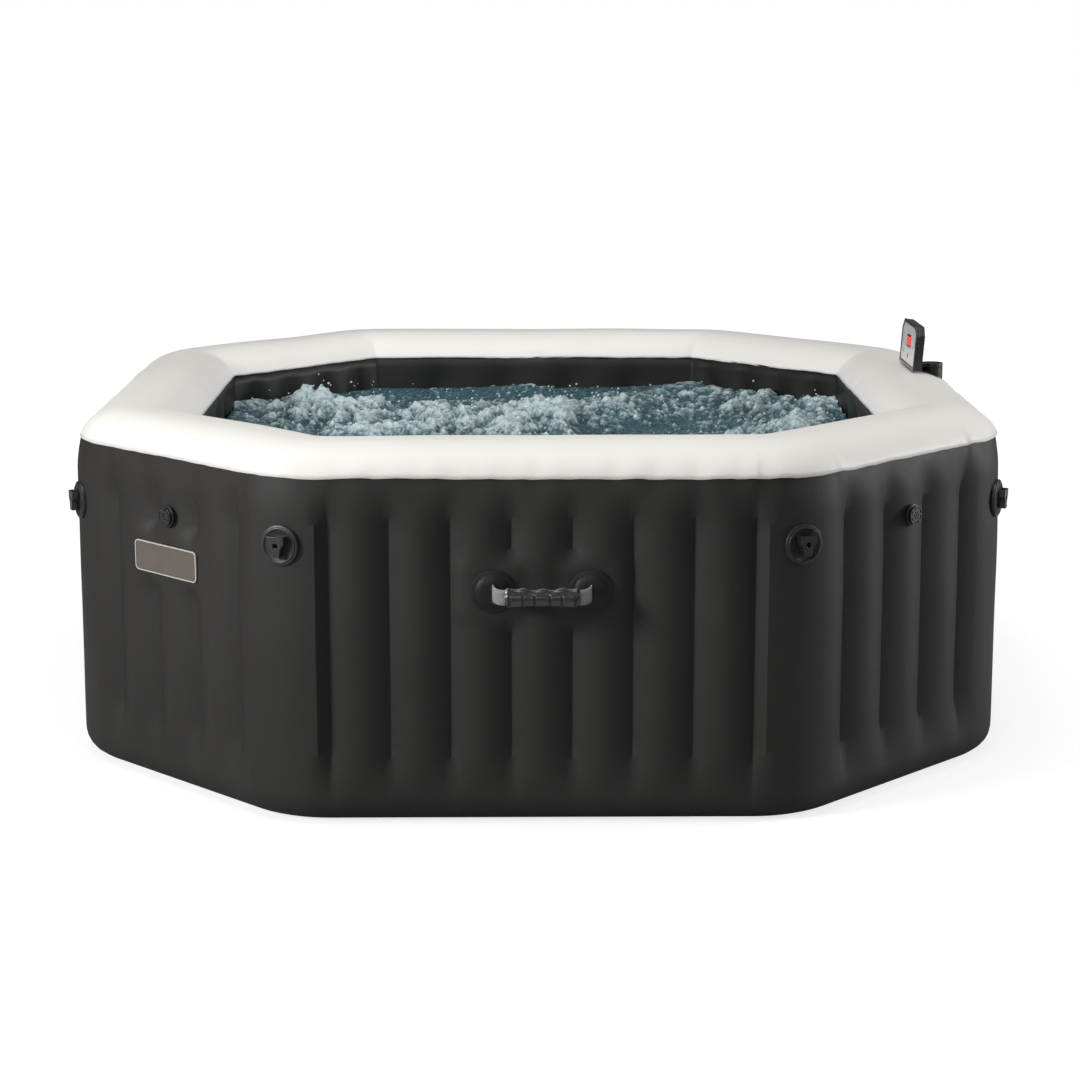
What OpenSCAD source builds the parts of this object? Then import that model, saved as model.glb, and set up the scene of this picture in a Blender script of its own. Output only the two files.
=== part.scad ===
// Inflatable octagonal hot tub with a pump base in its right wall.
// Frame: origin on the ground under the middle of the tub, +Z up, front face towards -Y.

/* [Body] */
// Distance across two opposite main faces
across_flats = 1870; // [1700:10:2100]
// Length of a main face from corner to corner
face_len = 970; // [900:10:1050]
// Height of the rim's crown above the ground
body_h = 710; // [650:5:760]
// Thickness of the inflated wall
wall_w = 230; // [210:5:250]
// Height of the seams where the pale top skin starts
seam_z = 655; // [600:5:670]
// Radius of the wall's lower edge
foot_r = 48; // [30:2:80]
// Radius of the wall's upright corners
corner_r = 215; // [100:5:250]
// Thickness of the laminated skins
skin = 3; // [1:0.5:4]

/* [Wall seams] */
// Distance between two webs on a main face
main_pitch = 112; // [100:1:124]
// Distance between two webs on a corner face
corner_pitch = 124; // [110:1:134]

/* [Handles] */
// Distance between a handle's two pads
pad_spacing = 180; // [160:5:220]
// Height of the handles
handle_z = 445; // [380:5:520]
// Distance of the handle's turning line from the wall
handle_root = 16; // [16:1:20]

/* [Cover buckles] */
// Height of the buckles on the corners
buckle_z = 528; // [480:2:560]
// Radius of a buckle's pad
buckle_pad_r = 38; // [32:1:42]

/* [Jets] */
// Height of the air inlets on the outside
air_inlet_z = 541; // [500:1:560]
// Height of the jets on the inside
jet_z = 250; // [200:5:320]

/* [Pump base] */
// Width of the pump base's housing
base_w = 430; // [400:5:440]
// Height of the housing's lower side
base_z0 = 66; // [60:1:90]
// Height of the housing
base_h = 500; // [460:5:510]

/* [Control panel] */
// Width of the panel
panel_w = 190; // [160:5:210]
// Height of the panel
panel_h = 98; // [90:1:110]
// How far the panel leans back, in degrees
panel_tilt = 4; // [0:1:20]
// Place of the panel along the right wall
panel_y = 100; // [60:5:140]

/* [Hidden] */
$fn = 48;

half = across_flats / 2;
edge = face_len / 2;
tan_corner = tan(22.5);
// Distance of the corner faces from the middle of the tub
corner_dist = (half + edge) / sqrt(2);
// Small gap between pieces that lie against each other
gap = 0.3;

// The corner faces, counted from the front right one, anticlockwise from above
corner_faces = [45, 135, 225, 315];
// The main faces that carry a handle: front, back and left
handle_faces = [0, 180, 270];

// The eight upright corners of the wall at inset d, each as [x, y, direction]
function corners(d) = let(a = half - d, b = edge - d * tan_corner) [
    [b, -a, 22.5], [a, -b, 67.5], [a, b, 112.5], [b, a, 157.5],
    [-b, a, 202.5], [-a, b, 247.5], [-a, -b, 292.5], [-b, -a, 337.5]
];

// A unit vector in direction phi, where 0 is the front and 90 is the right
function heading(phi) = [sin(phi), -cos(phi)];

// The wall's outline at inset d, with five points on each rounded corner
function outline(d) = let(r = max(corner_r - d, 12)) [
    for (c = corners(d), k = [-2:2])
        [c[0], c[1]] - heading(c[2]) * r / cos(22.5) + heading(c[2] + 11.25 * k) * r
];

function backwards(list) = [for (i = [len(list) - 1:-1:0]) list[i]];

// Width of the weld line between two panels of a skin
weld_gap = 0.15;

// One panel of a skin, between two lines of [inset, height] points. It runs along face i of the
// octagon, from the middle of one rounded corner to the middle of the next.
module skin_panel(outer, inner, i) {
    section = concat(outer, backwards(inner));
    n = len(section);
    rings = [for (k = [2:7]) [for (p = section)
        let(q = outline(p[0])[(5 * i + k) % 40]) [q[0], q[1], p[1]]]];
    last = len(rings) - 1;
    sides = [for (k = [0:last - 1], j = [0:n - 1]) let(j2 = (j + 1) % n)
        [k * n + j, k * n + j2, (k + 1) * n + j2, (k + 1) * n + j]];
    start = [for (j = [0:n / 2 - 2]) [j, n - 1 - j, n - 2 - j, j + 1]];
    end = [for (q = start) [q[3], q[2], q[1], q[0]] + [last, last, last, last] * n];
    translate(weld_gap * [heading(45 * i + 45)[0], heading(45 * i + 45)[1], 0])
        polyhedron(points = [for (ring = rings, q = ring) q], faces = concat(sides, start, end));
}

// A skin of eight welded panels round the tub
module skin_round(outer, inner) {
    for (i = [0:7]) skin_panel(outer, inner, i);
}

// Puts its children on a face: local z points out of the wall, local y points up
module on_wall(phi, s, z, inset = 0) {
    dist = (phi % 90 == 0) ? half : corner_dist;
    rotate([0, 0, phi]) translate([s, inset - dist, z]) rotate([90, 0, 0]) children();
}

// Puts its children on the wall's inner side: local z points into the tub
module in_tub(phi, s, z) {
    dist = (phi % 90 == 0) ? half : corner_dist;
    rotate([0, 0, phi]) translate([s, wall_w - dist, z]) rotate([90, 0, 180]) children();
}

// Puts its children on the round of upright corner number i
module on_corner(i, z) {
    c = corners(0)[i];
    inset = corner_r * (1 / cos(22.5) - 1);
    translate([c[0], c[1], z]) rotate([0, 0, c[2]]) translate([0, inset, 0])
        rotate([90, 0, 0]) children();
}

// A rectangle with round corners, centred
module round_rect(w, h, r) {
    square([w - 2 * r, h], center = true);
    square([w, h - 2 * r], center = true);
    for (x = [-1, 1], y = [-1, 1]) translate([x * (w / 2 - r), y * (h / 2 - r)]) circle(r);
}

// A bar of round section between two points
module bar(from, to, r) {
    v = to - from;
    run = norm([v[0], v[1]]);
    translate(from) rotate([0, atan2(run, v[2]), atan2(v[1], v[0])]) cylinder(r = r, h = norm(v));
}

// A hose of round section along a list of points, with a ball elbow at each bend
module hose(points, r) {
    for (i = [0:len(points) - 2]) bar(points[i], points[i + 1], r);
    for (i = [1:len(points) - 2]) translate(points[i]) sphere(r + 1);
}

// ---------------------------------------------------------------- inflated body

foot_steps = 4;
// How far in from the wall's face the top seam lies, and the height where the skin starts to lean
seam_inset = 12;
lean_z = seam_z - 55;
// Section of the outer skin: round foot, upright side, then a slight lean to the top seam
function outer_side(t) = concat(
    [for (k = [0:foot_steps]) let(a = 90 * k / foot_steps)
        [foot_r - (foot_r - t) * sin(a), foot_r - (foot_r - t) * cos(a)]],
    [[t, lean_z], [t + seam_inset, seam_z]]
);

crown_half = (wall_w - seam_inset) / 2;
crown_rise = body_h - seam_z;
crown_r = (crown_half * crown_half + crown_rise * crown_rise) / (2 * crown_rise);
crown_mid = seam_inset + crown_half;
crown_angle = asin(crown_half / crown_r);
crown_steps = 8;
// Section of the top skin: one arc from the outer seam over the crown to the inner seam, cut
// level at both ends to stand on the walls
function crown_side(t) = [for (k = [-crown_steps / 2:crown_steps / 2])
    let(a = crown_angle * 2 * k / crown_steps)
    [crown_mid + (crown_r - t) * sin(a),
        max(body_h - crown_r + (crown_r - t) * cos(a), seam_z) + gap]];

module outer_wall() {
    color("#3b3b3a") difference() {
        skin_round(outer_side(0), outer_side(skin));
        for (phi = corner_faces) on_wall(phi, 0, air_inlet_z) translate([0, 0, -10])
            cylinder(r = 13.2, h = 20);
        on_wall(180, valve_s, valve_z) translate([0, 0, -10]) cylinder(r = 17.2, h = 20);
        on_wall(270, drain_s, drain_z) translate([0, 0, -10]) cylinder(r = 19.2, h = 20);
        on_wall(90, 0, base_z0 + base_h / 2) translate([0, 0, -foot_r])
            linear_extrude(2 * foot_r) round_rect(base_w + 2, base_h + 2, 21);
    }
}

module top_skin() {
    color("#e4e0de") skin_round(crown_side(0), crown_side(skin));
}

module inner_wall() {
    color("#333333") difference() {
        skin_round([[wall_w - skin, skin + gap], [wall_w - skin, seam_z]],
            [[wall_w, skin + gap], [wall_w, seam_z]]);
        for (phi = corner_faces) in_tub(phi, 0, jet_z) translate([0, 0, -10])
            cylinder(r = 31.2, h = 20);
        for (p = fitting_places) in_tub(90, p[0], p[1]) translate([0, 0, -10])
            cylinder(r = 24.2, h = 20);
    }
}

module floor_sheet() {
    color("#3b3b3a") linear_extrude(skin) polygon(outline(foot_r + gap));
}

// Heights between which the webs are welded to the two skins
web_z0 = 75;
web_z1 = 620;
web_t = 1;
air_hole_r = 35;

// One web: a sheet across the air chamber, with holes that let the air pass. Its top outer corner
// is cut to follow the skin's lean.
module web(phi, s) {
    depth = wall_w - 2 * skin - 2 * gap;
    lean = seam_inset * (web_z1 - lean_z) / (seam_z - lean_z);
    on_wall(phi, s, 0) translate([-web_t / 2, 0, -skin - gap]) rotate([0, 90, 0])
        linear_extrude(web_t) difference() {
            polygon([[0, web_z0], [depth, web_z0], [depth, web_z1], [lean, web_z1], [0, lean_z]]);
            for (z = [180, 345, 510]) translate([depth / 2, z]) circle(air_hole_r);
        }
}

module wall_webs() {
    color("#4a4a4a") {
        for (phi = [0, 90, 180, 270], k = [-3.5:3.5])
            if (phi != 90 || abs(k * main_pitch) > base_w / 2 + 20) web(phi, k * main_pitch);
        for (phi = corner_faces, k = [-1.5:1.5]) web(phi, k * corner_pitch);
    }
}

// Channel along the foot of the inner wall that lets the blown air out as bubbles
bubble_w = 55;
bubble_h = 26;
bubble_hole_r = 1.6;
module bubble_ring() {
    near = wall_w + gap;
    floor_top = skin + gap;
    color("#2c2c2c") difference() {
        skin_round([[near, floor_top + bubble_h], [near + bubble_w - 15, floor_top + bubble_h],
            [near + bubble_w, floor_top]],
            [[near, floor_top + bubble_h - 2.4], [near + bubble_w - 16.8, floor_top + bubble_h - 2.4],
            [near + bubble_w - 2.8, floor_top]]);
        for (phi = [0:45:315]) {
            reach = (phi % 90 == 0) ? 3 : 2;
            for (k = [-reach:reach]) in_tub(phi, k * 70, 0) translate([0, 0, 20])
                rotate([-90, 0, 0]) cylinder(r = bubble_hole_r, h = 40);
        }
    }
}

module name_plate() {
    color("#8f8780") on_wall(315, -10, 453) translate([0, 0, gap]) {
        linear_extrude(1.6) round_rect(190, 60, 9);
        translate([0, 0, 1.6]) linear_extrude(1) difference() {
            round_rect(190, 60, 9);
            round_rect(184, 54, 6);
        }
    }
}

// ---------------------------------------------------------------- carry handles

pad_r = 40;
pad_rise = 10;
strap_w = 28;
strap_t = 2.4;
strap_out = 52;

// One pad: a low dome with a slot that takes the strap's end
module handle_pad() {
    dome_r = (pad_r * pad_r + pad_rise * pad_rise) / (2 * pad_rise);
    difference() {
        intersection() {
            translate([0, 0, pad_rise - dome_r]) sphere(dome_r, $fn = 96);
            translate([0, 0, gap]) cylinder(r = pad_r, h = pad_rise);
        }
        translate([0, 0, handle_root]) rotate([0, 90, 0])
            cylinder(r = strap_w / 2 + 0.6, h = strap_t + 0.8, center = true);
    }
}

module handle_pads() {
    color("#262626") for (phi = handle_faces, x = [-1, 1])
        on_wall(phi, x * pad_spacing / 2, handle_z) handle_pad();
}

// The strap's middle line seen along its width, from one pad out to the grip
strap_half = [[-pad_spacing / 2, handle_root], [-pad_spacing / 2, 30], [-pad_spacing / 2 + 8, 46],
    [-pad_spacing / 2 + 24, strap_out]];
strap_line = concat(strap_half, [for (p = backwards(strap_half)) [-p[0], p[1]]]);

// The direction of a line of points at point i
function along(line, i) = let(
    v = line[min(i + 1, len(line) - 1)] - line[max(i - 1, 0)]) v / norm(v);
// A line of points moved sideways by d
function beside(line, d) = [for (i = [0:len(line) - 1])
    line[i] + d * [-along(line, i)[1], along(line, i)[0]]];

module handle_strap(phi) {
    color("#7c7c7c") on_wall(phi, 0, handle_z) {
        rotate([90, 0, 0]) translate([0, 0, -strap_w / 2]) linear_extrude(strap_w)
            polygon(concat(beside(strap_line, strap_t / 2), backwards(beside(strap_line, -strap_t / 2))));
        for (x = [-1, 1]) translate([x * pad_spacing / 2, 0, handle_root]) rotate([0, 90, 0])
            cylinder(r = strap_w / 2, h = strap_t, center = true);
    }
}

grip_len = 132;
grip_h = 36;
grip_t = 20;
module handle_grip(phi) {
    color("#333333") on_wall(phi, 0, handle_z) translate([-grip_len / 2, 0, strap_out])
        rotate([90, 0, 90]) difference() {
            linear_extrude(grip_len) difference() {
                round_rect(grip_h, grip_t, 9);
                square([strap_w + 0.8, strap_t + 0.8], center = true);
            }
            for (k = [-2:2]) translate([0, grip_t / 2 + 0.5, grip_len / 2 + 22 * k])
                cube([grip_h + 2, 3, 2.4], center = true);
        }
}

// ---------------------------------------------------------------- cover buckles

module cover_buckle_pads() {
    color("#2a2a2a") for (i = [0:7]) on_corner(i, buckle_z) translate([0, 0, gap]) {
        cylinder(r = buckle_pad_r, h = 3);
        translate([0, 0, 3]) difference() {
            cylinder(r = buckle_pad_r - 5, h = 2);
            translate([0, 0, -1]) cylinder(r = buckle_pad_r - 8, h = 4);
        }
    }
}

socket_w = 34;
socket_t = 15;
slot_w = 26;
slot_t = 8.5;
// One socket: wide at its mouth, narrow below, open upwards for a cover strap's clip
module cover_buckle_socket() {
    difference() {
        linear_extrude(socket_t) union() {
            translate([-socket_w / 2, 6]) square([socket_w, 13]);
            polygon([[-socket_w / 2, 6], [-10, -4], [-8, -19], [8, -19], [10, -4], [socket_w / 2, 6]]);
        }
        translate([-slot_w / 2, 1, 3.2]) cube([slot_w, 30, slot_t]);
        translate([-6, -14, 3.2]) cube([12, 20, slot_t]);
        translate([0, 2, socket_t - 4]) cylinder(r = 5, h = 10);
    }
}

module cover_buckle_sockets() {
    color("#1e1e1e") for (i = [0:7]) on_corner(i, buckle_z) translate([0, 0, 3 + 2 * gap])
        cover_buckle_socket();
}

// ---------------------------------------------------------------- jets

air_bore_r = 9;
flange_t = 4;
module air_inlet_flanges() {
    color("#1f1f1f") for (phi = corner_faces) on_wall(phi, 0, air_inlet_z) difference() {
        union() {
            translate([0, 0, gap]) cylinder(r = 21, h = flange_t);
            translate([0, 0, -32]) cylinder(r = 13, h = 33);
        }
        translate([0, 0, -40]) cylinder(r = air_bore_r, h = 60);
    }
}

// One vented cap: a low knob with eight slots round a grille, on a stem in the inlet's bore
module air_cap(phi) {
    color("#2d2d2d") on_wall(phi, 0, air_inlet_z) difference() {
        union() {
            translate([0, 0, flange_t + 2 * gap]) cylinder(r = 18, h = 5);
            translate([0, 0, -8]) cylinder(r = air_bore_r - 0.06, h = 14);
        }
        translate([0, 0, flange_t + 4]) difference() {
            cylinder(r = 15.5, h = 10);
            translate([0, 0, -1]) cylinder(r = 13, h = 12);
            for (a = [0:45:179]) rotate([0, 0, a]) cube([40, 2, 30], center = true);
        }
        for (a = [0:60:300]) rotate([0, 0, a]) translate([5.5, 0, -10]) cylinder(r = 1.6, h = 40, $fn = 16);
        translate([0, 0, -10]) cylinder(r = 1.6, h = 40, $fn = 16);
    }
}

ball_r = 22;
ball_z = -12;
jet_bore_r = 24;
module jet_bodies() {
    color("#2b2b2b") for (phi = corner_faces) in_tub(phi, 0, jet_z) difference() {
        union() {
            translate([0, 0, gap]) cylinder(r = 46, h = flange_t);
            translate([0, 0, -66]) cylinder(r = 31, h = 67);
            translate([0, 0, -48]) rotate([-90, 0, 0]) cylinder(r = 9, h = 44);
            translate([0, 0, -48]) rotate([90, 0, 0]) cylinder(r = 14, h = 46);
        }
        translate([0, 0, -40]) cylinder(r = jet_bore_r, h = 60);
        translate([0, 0, -60]) cylinder(r = 10, h = 40);
        translate([0, 0, -48]) rotate([-90, 0, 0]) cylinder(r = 5, h = 60);
        translate([0, 0, -48]) rotate([90, 0, 0]) cylinder(r = 10, h = 60);
    }
}

module jet_rings() {
    color("#555555") for (phi = corner_faces) in_tub(phi, 0, jet_z) difference() {
        union() {
            translate([0, 0, 1]) cylinder(r = jet_bore_r - 0.2, h = 6);
            translate([0, 0, flange_t + 2 * gap]) cylinder(r = 32, h = 3.6);
        }
        translate([0, 0, 0.5]) cylinder(r1 = 19.5, r2 = 27, h = 8.2, $fn = 64);
    }
}

module jet_nozzle(phi) {
    color("#6a6a6a") in_tub(phi, 0, jet_z) translate([0, 0, ball_z]) difference() {
        union() {
            sphere(ball_r, $fn = 64);
            cylinder(r = 11, h = 27);
        }
        translate([0, 0, -30]) cylinder(r = 8, h = 80);
    }
}

water_hose_r = 13;
air_hose_r = 8;
hose_z = 30;
// The water hose runs low round the whole wall, right under the jets' lower stubs
hose_inset = wall_w - 48;
module hoses() {
    jet_dist = corner_dist - hose_inset;
    loop = [for (c = corners(hose_inset)) [c[0], c[1], hose_z]];
    color("#c8c8c8") {
        for (i = [0:7]) {
            bar(loop[i], loop[(i + 1) % 8], water_hose_r);
            translate(loop[i]) sphere(water_hose_r + 2);
        }
        for (phi = corner_faces) {
            p = heading(phi) * jet_dist;
            q = heading(phi) * (corner_dist - 33);
            bar([p[0], p[1], hose_z], [p[0], p[1], jet_z - 46 - gap], water_hose_r);
            hose([[q[0], q[1], air_inlet_z], [q[0], q[1], air_inlet_z] - [heading(phi)[0], heading(phi)[1], 0.4] * 35,
                [p[0], p[1], jet_z + 90], [p[0], p[1], jet_z + 44 + gap]], air_hose_r);
        }
        bar([half - hose_inset, 0, hose_z], [half - hose_inset, 0, base_z0 - gap], water_hose_r);
    }
}

// ---------------------------------------------------------------- valves

valve_s = 250;
valve_z = 330;
valve_bore_r = 12;
module inflation_valve_body() {
    color("#242424") on_wall(180, valve_s, valve_z) difference() {
        union() {
            translate([0, 0, gap]) cylinder(r = 26, h = flange_t);
            translate([0, 0, -40]) cylinder(r = 17, h = 41);
        }
        translate([0, 0, -22]) cylinder(r = valve_bore_r, h = 40);
        translate([0, 0, -41]) cylinder(r = 14, h = 16);
        for (a = [0:90:270]) rotate([0, 0, a]) translate([7.5, 0, -30]) cylinder(r = 2.5, h = 20, $fn = 24);
        translate([0, 0, -30]) cylinder(r = 3.05, h = 20);
    }
}

module inflation_valve_stem() {
    color("#9a9a9a") on_wall(180, valve_s, valve_z) {
        translate([0, 0, -27]) cylinder(r = 3, h = 17);
        translate([0, 0, -28]) cylinder(r = 11, h = 2.4);
    }
}

// A flat lid with a short plug and a tab at its lower edge, where it turns
module tethered_lid(r, plug_r, z) {
    translate([0, 0, z]) {
        cylinder(r = r, h = 4);
        translate([0, 0, -3.5]) cylinder(r = plug_r, h = 4);
        translate([-7, -r - 4.5, 0]) cube([14, 10.5, 4]);
    }
}

module inflation_valve_cap() {
    color("#2f2f2f") on_wall(180, valve_s, valve_z)
        tethered_lid(23, valve_bore_r - 0.7, flange_t + 2 * gap);
}

drain_s = 250;
drain_z = 120;
spigot_r = 16;
spigot_h = 20;
module drain_valve_body() {
    color("#242424") on_wall(270, drain_s, drain_z) difference() {
        union() {
            translate([0, 0, gap]) cylinder(r = 30, h = flange_t);
            translate([0, 0, -36]) cylinder(r = 19, h = 37);
            cylinder(r = spigot_r, h = spigot_h);
        }
        translate([0, 0, -40]) cylinder(r = 12, h = 80);
    }
}

module drain_cap() {
    color("#2f2f2f") on_wall(270, drain_s, drain_z) tethered_lid(19, 11.3, spigot_h + gap);
}

// ---------------------------------------------------------------- pump base

// Where the two filter inlets and the warm return pass the inner wall, as [along, height]
fitting_places = [[-85, 190], [85, 190], [0, 430]];
base_mid_z = base_z0 + base_h / 2;
base_depth = wall_w - 8;
base_wall = 4;
screw_places = [for (x = [-1, 1], y = [-1, -0.36, 0.36, 1])
    [x * (base_w / 2 - 14), y * (base_h / 2 - 16)]];

module base_housing() {
    color("#2a2a2a") on_wall(90, 0, base_mid_z) difference() {
        union() {
            translate([0, 0, -base_depth]) difference() {
                linear_extrude(base_depth - 1) round_rect(base_w, base_h, 20);
                translate([0, 0, base_wall]) linear_extrude(base_depth)
                    round_rect(base_w - 2 * base_wall, base_h - 2 * base_wall, 16);
            }
            for (p = screw_places) translate([p[0], p[1], -31]) cylinder(r = 6, h = 30);
        }
        for (p = screw_places) translate([p[0], p[1], -25]) cylinder(r = 1.8, h = 30);
        for (p = fitting_places) translate([p[0], p[1] - base_mid_z, -base_depth - 5])
            cylinder(r = 24.2, h = 20);
    }
}

cover_t = 12;
vent_w = 150;
module base_cover() {
    color("#303030") on_wall(90, 0, base_mid_z) translate([0, 0, gap]) difference() {
        linear_extrude(cover_t) round_rect(base_w + 44, base_h + 44, 36);
        translate([0, 0, -1]) linear_extrude(cover_t - 3)
            round_rect(base_w - 70, base_h - 8, 16);
        for (x = [-1, 1], k = [0:8]) translate([x * 90, 120 - 17 * k, 0])
            linear_extrude(40) round_rect(vent_w, 7, 3.4);
        for (p = screw_places) translate([p[0], p[1], -1]) {
            cylinder(r = 2.3, h = 30);
            translate([0, 0, cover_t - 3]) cylinder(r = 5, h = 10);
        }
        translate([gland_s, gland_z - base_mid_z, -1]) cylinder(r = gland_r, h = 30);
    }
}

// Hole in the base cover for the power lead's gland
gland_s = 120;
gland_z = 110;
gland_r = 8;

module base_cover_screws() {
    color("#b5b5b5") on_wall(90, 0, base_mid_z) for (p = screw_places)
        translate([p[0], p[1], gap]) difference() {
            union() {
                translate([0, 0, cover_t - 2.8]) cylinder(r = 4.4, h = 2.6);
                translate([0, 0, -22]) cylinder(r = 1.7, h = cover_t + 20);
            }
            for (a = [0, 90]) rotate([0, 0, a]) translate([0, 0, cover_t]) cube([5, 1, 2.4], center = true);
        }
}

// The rotating machines turn on lines along Y through these points
pump_axis = [half - 115, 150];
blower_axis = [half - 115, 455];
shaft_r = 6;

// Puts its children on a line along Y, with local z pointing towards +Y
module along_y(axis, y) {
    translate([axis[0], y, axis[1]]) rotate([-90, 0, 0]) children();
}

module pump_volute() {
    color("#3a3a3a") difference() {
        union() {
            along_y(pump_axis, -165) cylinder(r = 60, h = 50);
            translate([pump_axis[0] + 42, -140, pump_axis[1]]) cylinder(r = 16, h = 92);
            along_y(pump_axis, -190) cylinder(r = 22, h = 26);
        }
        along_y(pump_axis, -159) cylinder(r = 52, h = 38);
        translate([pump_axis[0] + 42, -140, pump_axis[1]]) cylinder(r = 12, h = 100);
        along_y(pump_axis, -200) cylinder(r = 17, h = 60);
        along_y(pump_axis, -130) cylinder(r = shaft_r + 0.06, h = 30);
    }
}

// Impeller with six blades on the shaft that it shares with the motor
module pump_impeller() {
    color("#c9c9c9") {
        along_y(pump_axis, -127) cylinder(r = 46, h = 4);
        for (a = [0:60:300]) along_y(pump_axis, -148) rotate([0, 0, a]) translate([8, -1.5, 0])
            cube([36, 3, 21.5]);
        along_y(pump_axis, -150) cylinder(r = 11, h = 25);
        along_y(pump_axis, -127) cylinder(r = shaft_r, h = 70);
    }
}

module pump_motor() {
    color("#4d5563") difference() {
        union() {
            along_y(pump_axis, -110) cylinder(r = 46, h = 130);
            for (a = [0:30:330]) along_y(pump_axis, -100) rotate([0, 0, a]) translate([44, -1.5, 0])
                cube([8, 3, 110]);
        }
        along_y(pump_axis, -120) cylinder(r = shaft_r + 0.06, h = 70);
    }
}

module heater_tube() {
    y0 = -150;
    color("#b9bcc0") {
        translate([half - 115, y0, 300]) rotate([-90, 0, 0]) cylinder(r = 26, h = 290);
        for (y = [y0 - 6, y0 + 284]) translate([half - 115, y, 300]) rotate([-90, 0, 0])
            cylinder(r = 32, h = 12);
        translate([half - 115, y0 + 240, 320]) cylinder(r = 14, h = 40);
    }
}

module blower_housing() {
    color("#35383c") difference() {
        union() {
            along_y(blower_axis, -150) cylinder(r = 70, h = 60);
            along_y(blower_axis, -92) cylinder(r = 34, h = 70);
            translate([blower_axis[0] + 48, -120, blower_axis[1] - 100]) cylinder(r = 18, h = 100);
        }
        along_y(blower_axis, -145) cylinder(r = 62, h = 50);
        along_y(blower_axis, -160) cylinder(r = 28, h = 30);
        along_y(blower_axis, -100) cylinder(r = shaft_r + 0.06, h = 50);
        translate([blower_axis[0] + 48, -120, blower_axis[1] - 110]) cylinder(r = 14, h = 120);
    }
}

module blower_fan() {
    color("#dedede") {
        along_y(blower_axis, -104) cylinder(r = 56, h = 3);
        for (a = [0:30:330]) along_y(blower_axis, -136) rotate([0, 0, a]) translate([40, -1, 0])
            rotate([0, 0, 25]) cube([14, 2, 32.5]);
        along_y(blower_axis, -104) cylinder(r = shaft_r, h = 48);
    }
}

module control_board() {
    color("#2f6b3f") translate([half - 60, 40, 400]) {
        cube([2, 150, 120]);
        translate([-22, 12, 12]) cube([22, 40, 50]);
        translate([-16, 70, 20]) cube([16, 30, 30]);
        translate([-12, 112, 60]) cube([12, 26, 40]);
    }
}

// Flanged sleeves through the inner wall, with a stub that a filter cartridge seats on
fitting_t = 6;
stub_r = 20;
module wall_fittings() {
    color("#2b2b2b") for (p = fitting_places) in_tub(90, -p[0], p[1]) difference() {
        union() {
            translate([0, 0, gap]) cylinder(r = 64, h = fitting_t);
            translate([0, 0, -26]) cylinder(r = 24, h = 27);
            cylinder(r = stub_r, h = 24);
        }
        translate([0, 0, -30]) cylinder(r = 15, h = 80);
    }
}

cartridge_r = 52;
cartridge_h = 76;
cartridge_z = fitting_t + 2.4;
module filter_cartridge(n) {
    color("#e8ecee") in_tub(90, -fitting_places[n][0], fitting_places[n][1])
        translate([0, 0, cartridge_z]) difference() {
            union() {
                cylinder(r = cartridge_r, h = 6);
                translate([0, 0, cartridge_h - 6]) cylinder(r = cartridge_r, h = 6);
                cylinder(r = cartridge_r - 6, h = cartridge_h);
                for (a = [0:18:342]) rotate([0, 0, a]) translate([cartridge_r - 8, -1.5, 3])
                    cube([7, 3, cartridge_h - 6]);
            }
            translate([0, 0, -1]) cylinder(r = stub_r + 1, h = cartridge_h - 10);
        }
}

cap_r = 60;
cap_h = 92;
module filter_cap(n) {
    color("#303030") in_tub(90, -fitting_places[n][0], fitting_places[n][1])
        translate([0, 0, fitting_t + 2 * gap]) difference() {
            cylinder(r = cap_r, h = cap_h);
            translate([0, 0, -1]) cylinder(r = cap_r - 3, h = cap_h - 2);
            for (a = [0:30:150]) rotate([0, 0, a]) translate([0, 0, cap_h / 2 - 4])
                cube([2 * cap_r + 10, 9, cap_h - 34], center = true);
        }
}

// ---------------------------------------------------------------- control panel

// Distance of the panel's turning line from the tub's middle, behind the panel
swivel_x = half - 55;
bracket_w = 110;
bracket_t = 5;
post_r = 10;
boss_r = 23;
boss_top = body_h + 4;

// Runs its children along the right wall, drawn as [outward, height], w wide round panel_y
module along_rim(w) {
    translate([0, panel_y + w / 2, 0]) rotate([90, 0, 0]) linear_extrude(w) children();
}

module panel_bracket() {
    ring_x = half - crown_mid;
    ring_z = body_h - crown_r + gap;
    saddle_r = crown_r + gap;
    lean = 62;
    color("#1c1c1c") difference() {
        union() {
            along_rim(bracket_w) intersection() {
                translate([ring_x, ring_z]) difference() {
                    circle(saddle_r + bracket_t, $fn = 128);
                    circle(saddle_r, $fn = 128);
                }
                translate([ring_x, ring_z]) polygon([[0, 0], [300 * sin(9), 300 * cos(9)],
                    [300, 300], [300 * sin(lean), 300 * cos(lean)]]);
            }
            intersection() {
                translate([swivel_x, panel_y, ring_z]) cylinder(r = boss_r, h = boss_top - ring_z);
                along_rim(bracket_w) difference() {
                    translate([ring_x, ring_z]) square([300, 300]);
                    translate([ring_x, ring_z]) circle(saddle_r, $fn = 128);
                }
            }
            translate([half + gap + 0.2, panel_y - 35, base_mid_z + base_h / 2 + 22 + gap]) cube([bracket_t, 70, 58]);
        }
        translate([swivel_x, panel_y, boss_top - 12]) cylinder(r = post_r + 0.06, h = 40);
    }
}

panel_t = 20;
panel_x = half - 114;
panel_z = body_h + 6;
face_depth = 5;

// The panel's own frame: local z points out of its face, local y up its face
module in_panel() {
    translate([panel_x, panel_y, panel_z]) rotate([0, 0, 270]) rotate([90 - panel_tilt, 0, 0])
        children();
}

// The panel's outline, set in by d, with cut upper corners
module panel_outline(d) {
    w = panel_w / 2 - d;
    cut = 20;
    polygon([[-w, d], [w, d], [w, panel_h - cut], [w - cut, panel_h - d],
        [cut - w, panel_h - d], [-w, panel_h - cut]]);
}

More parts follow.
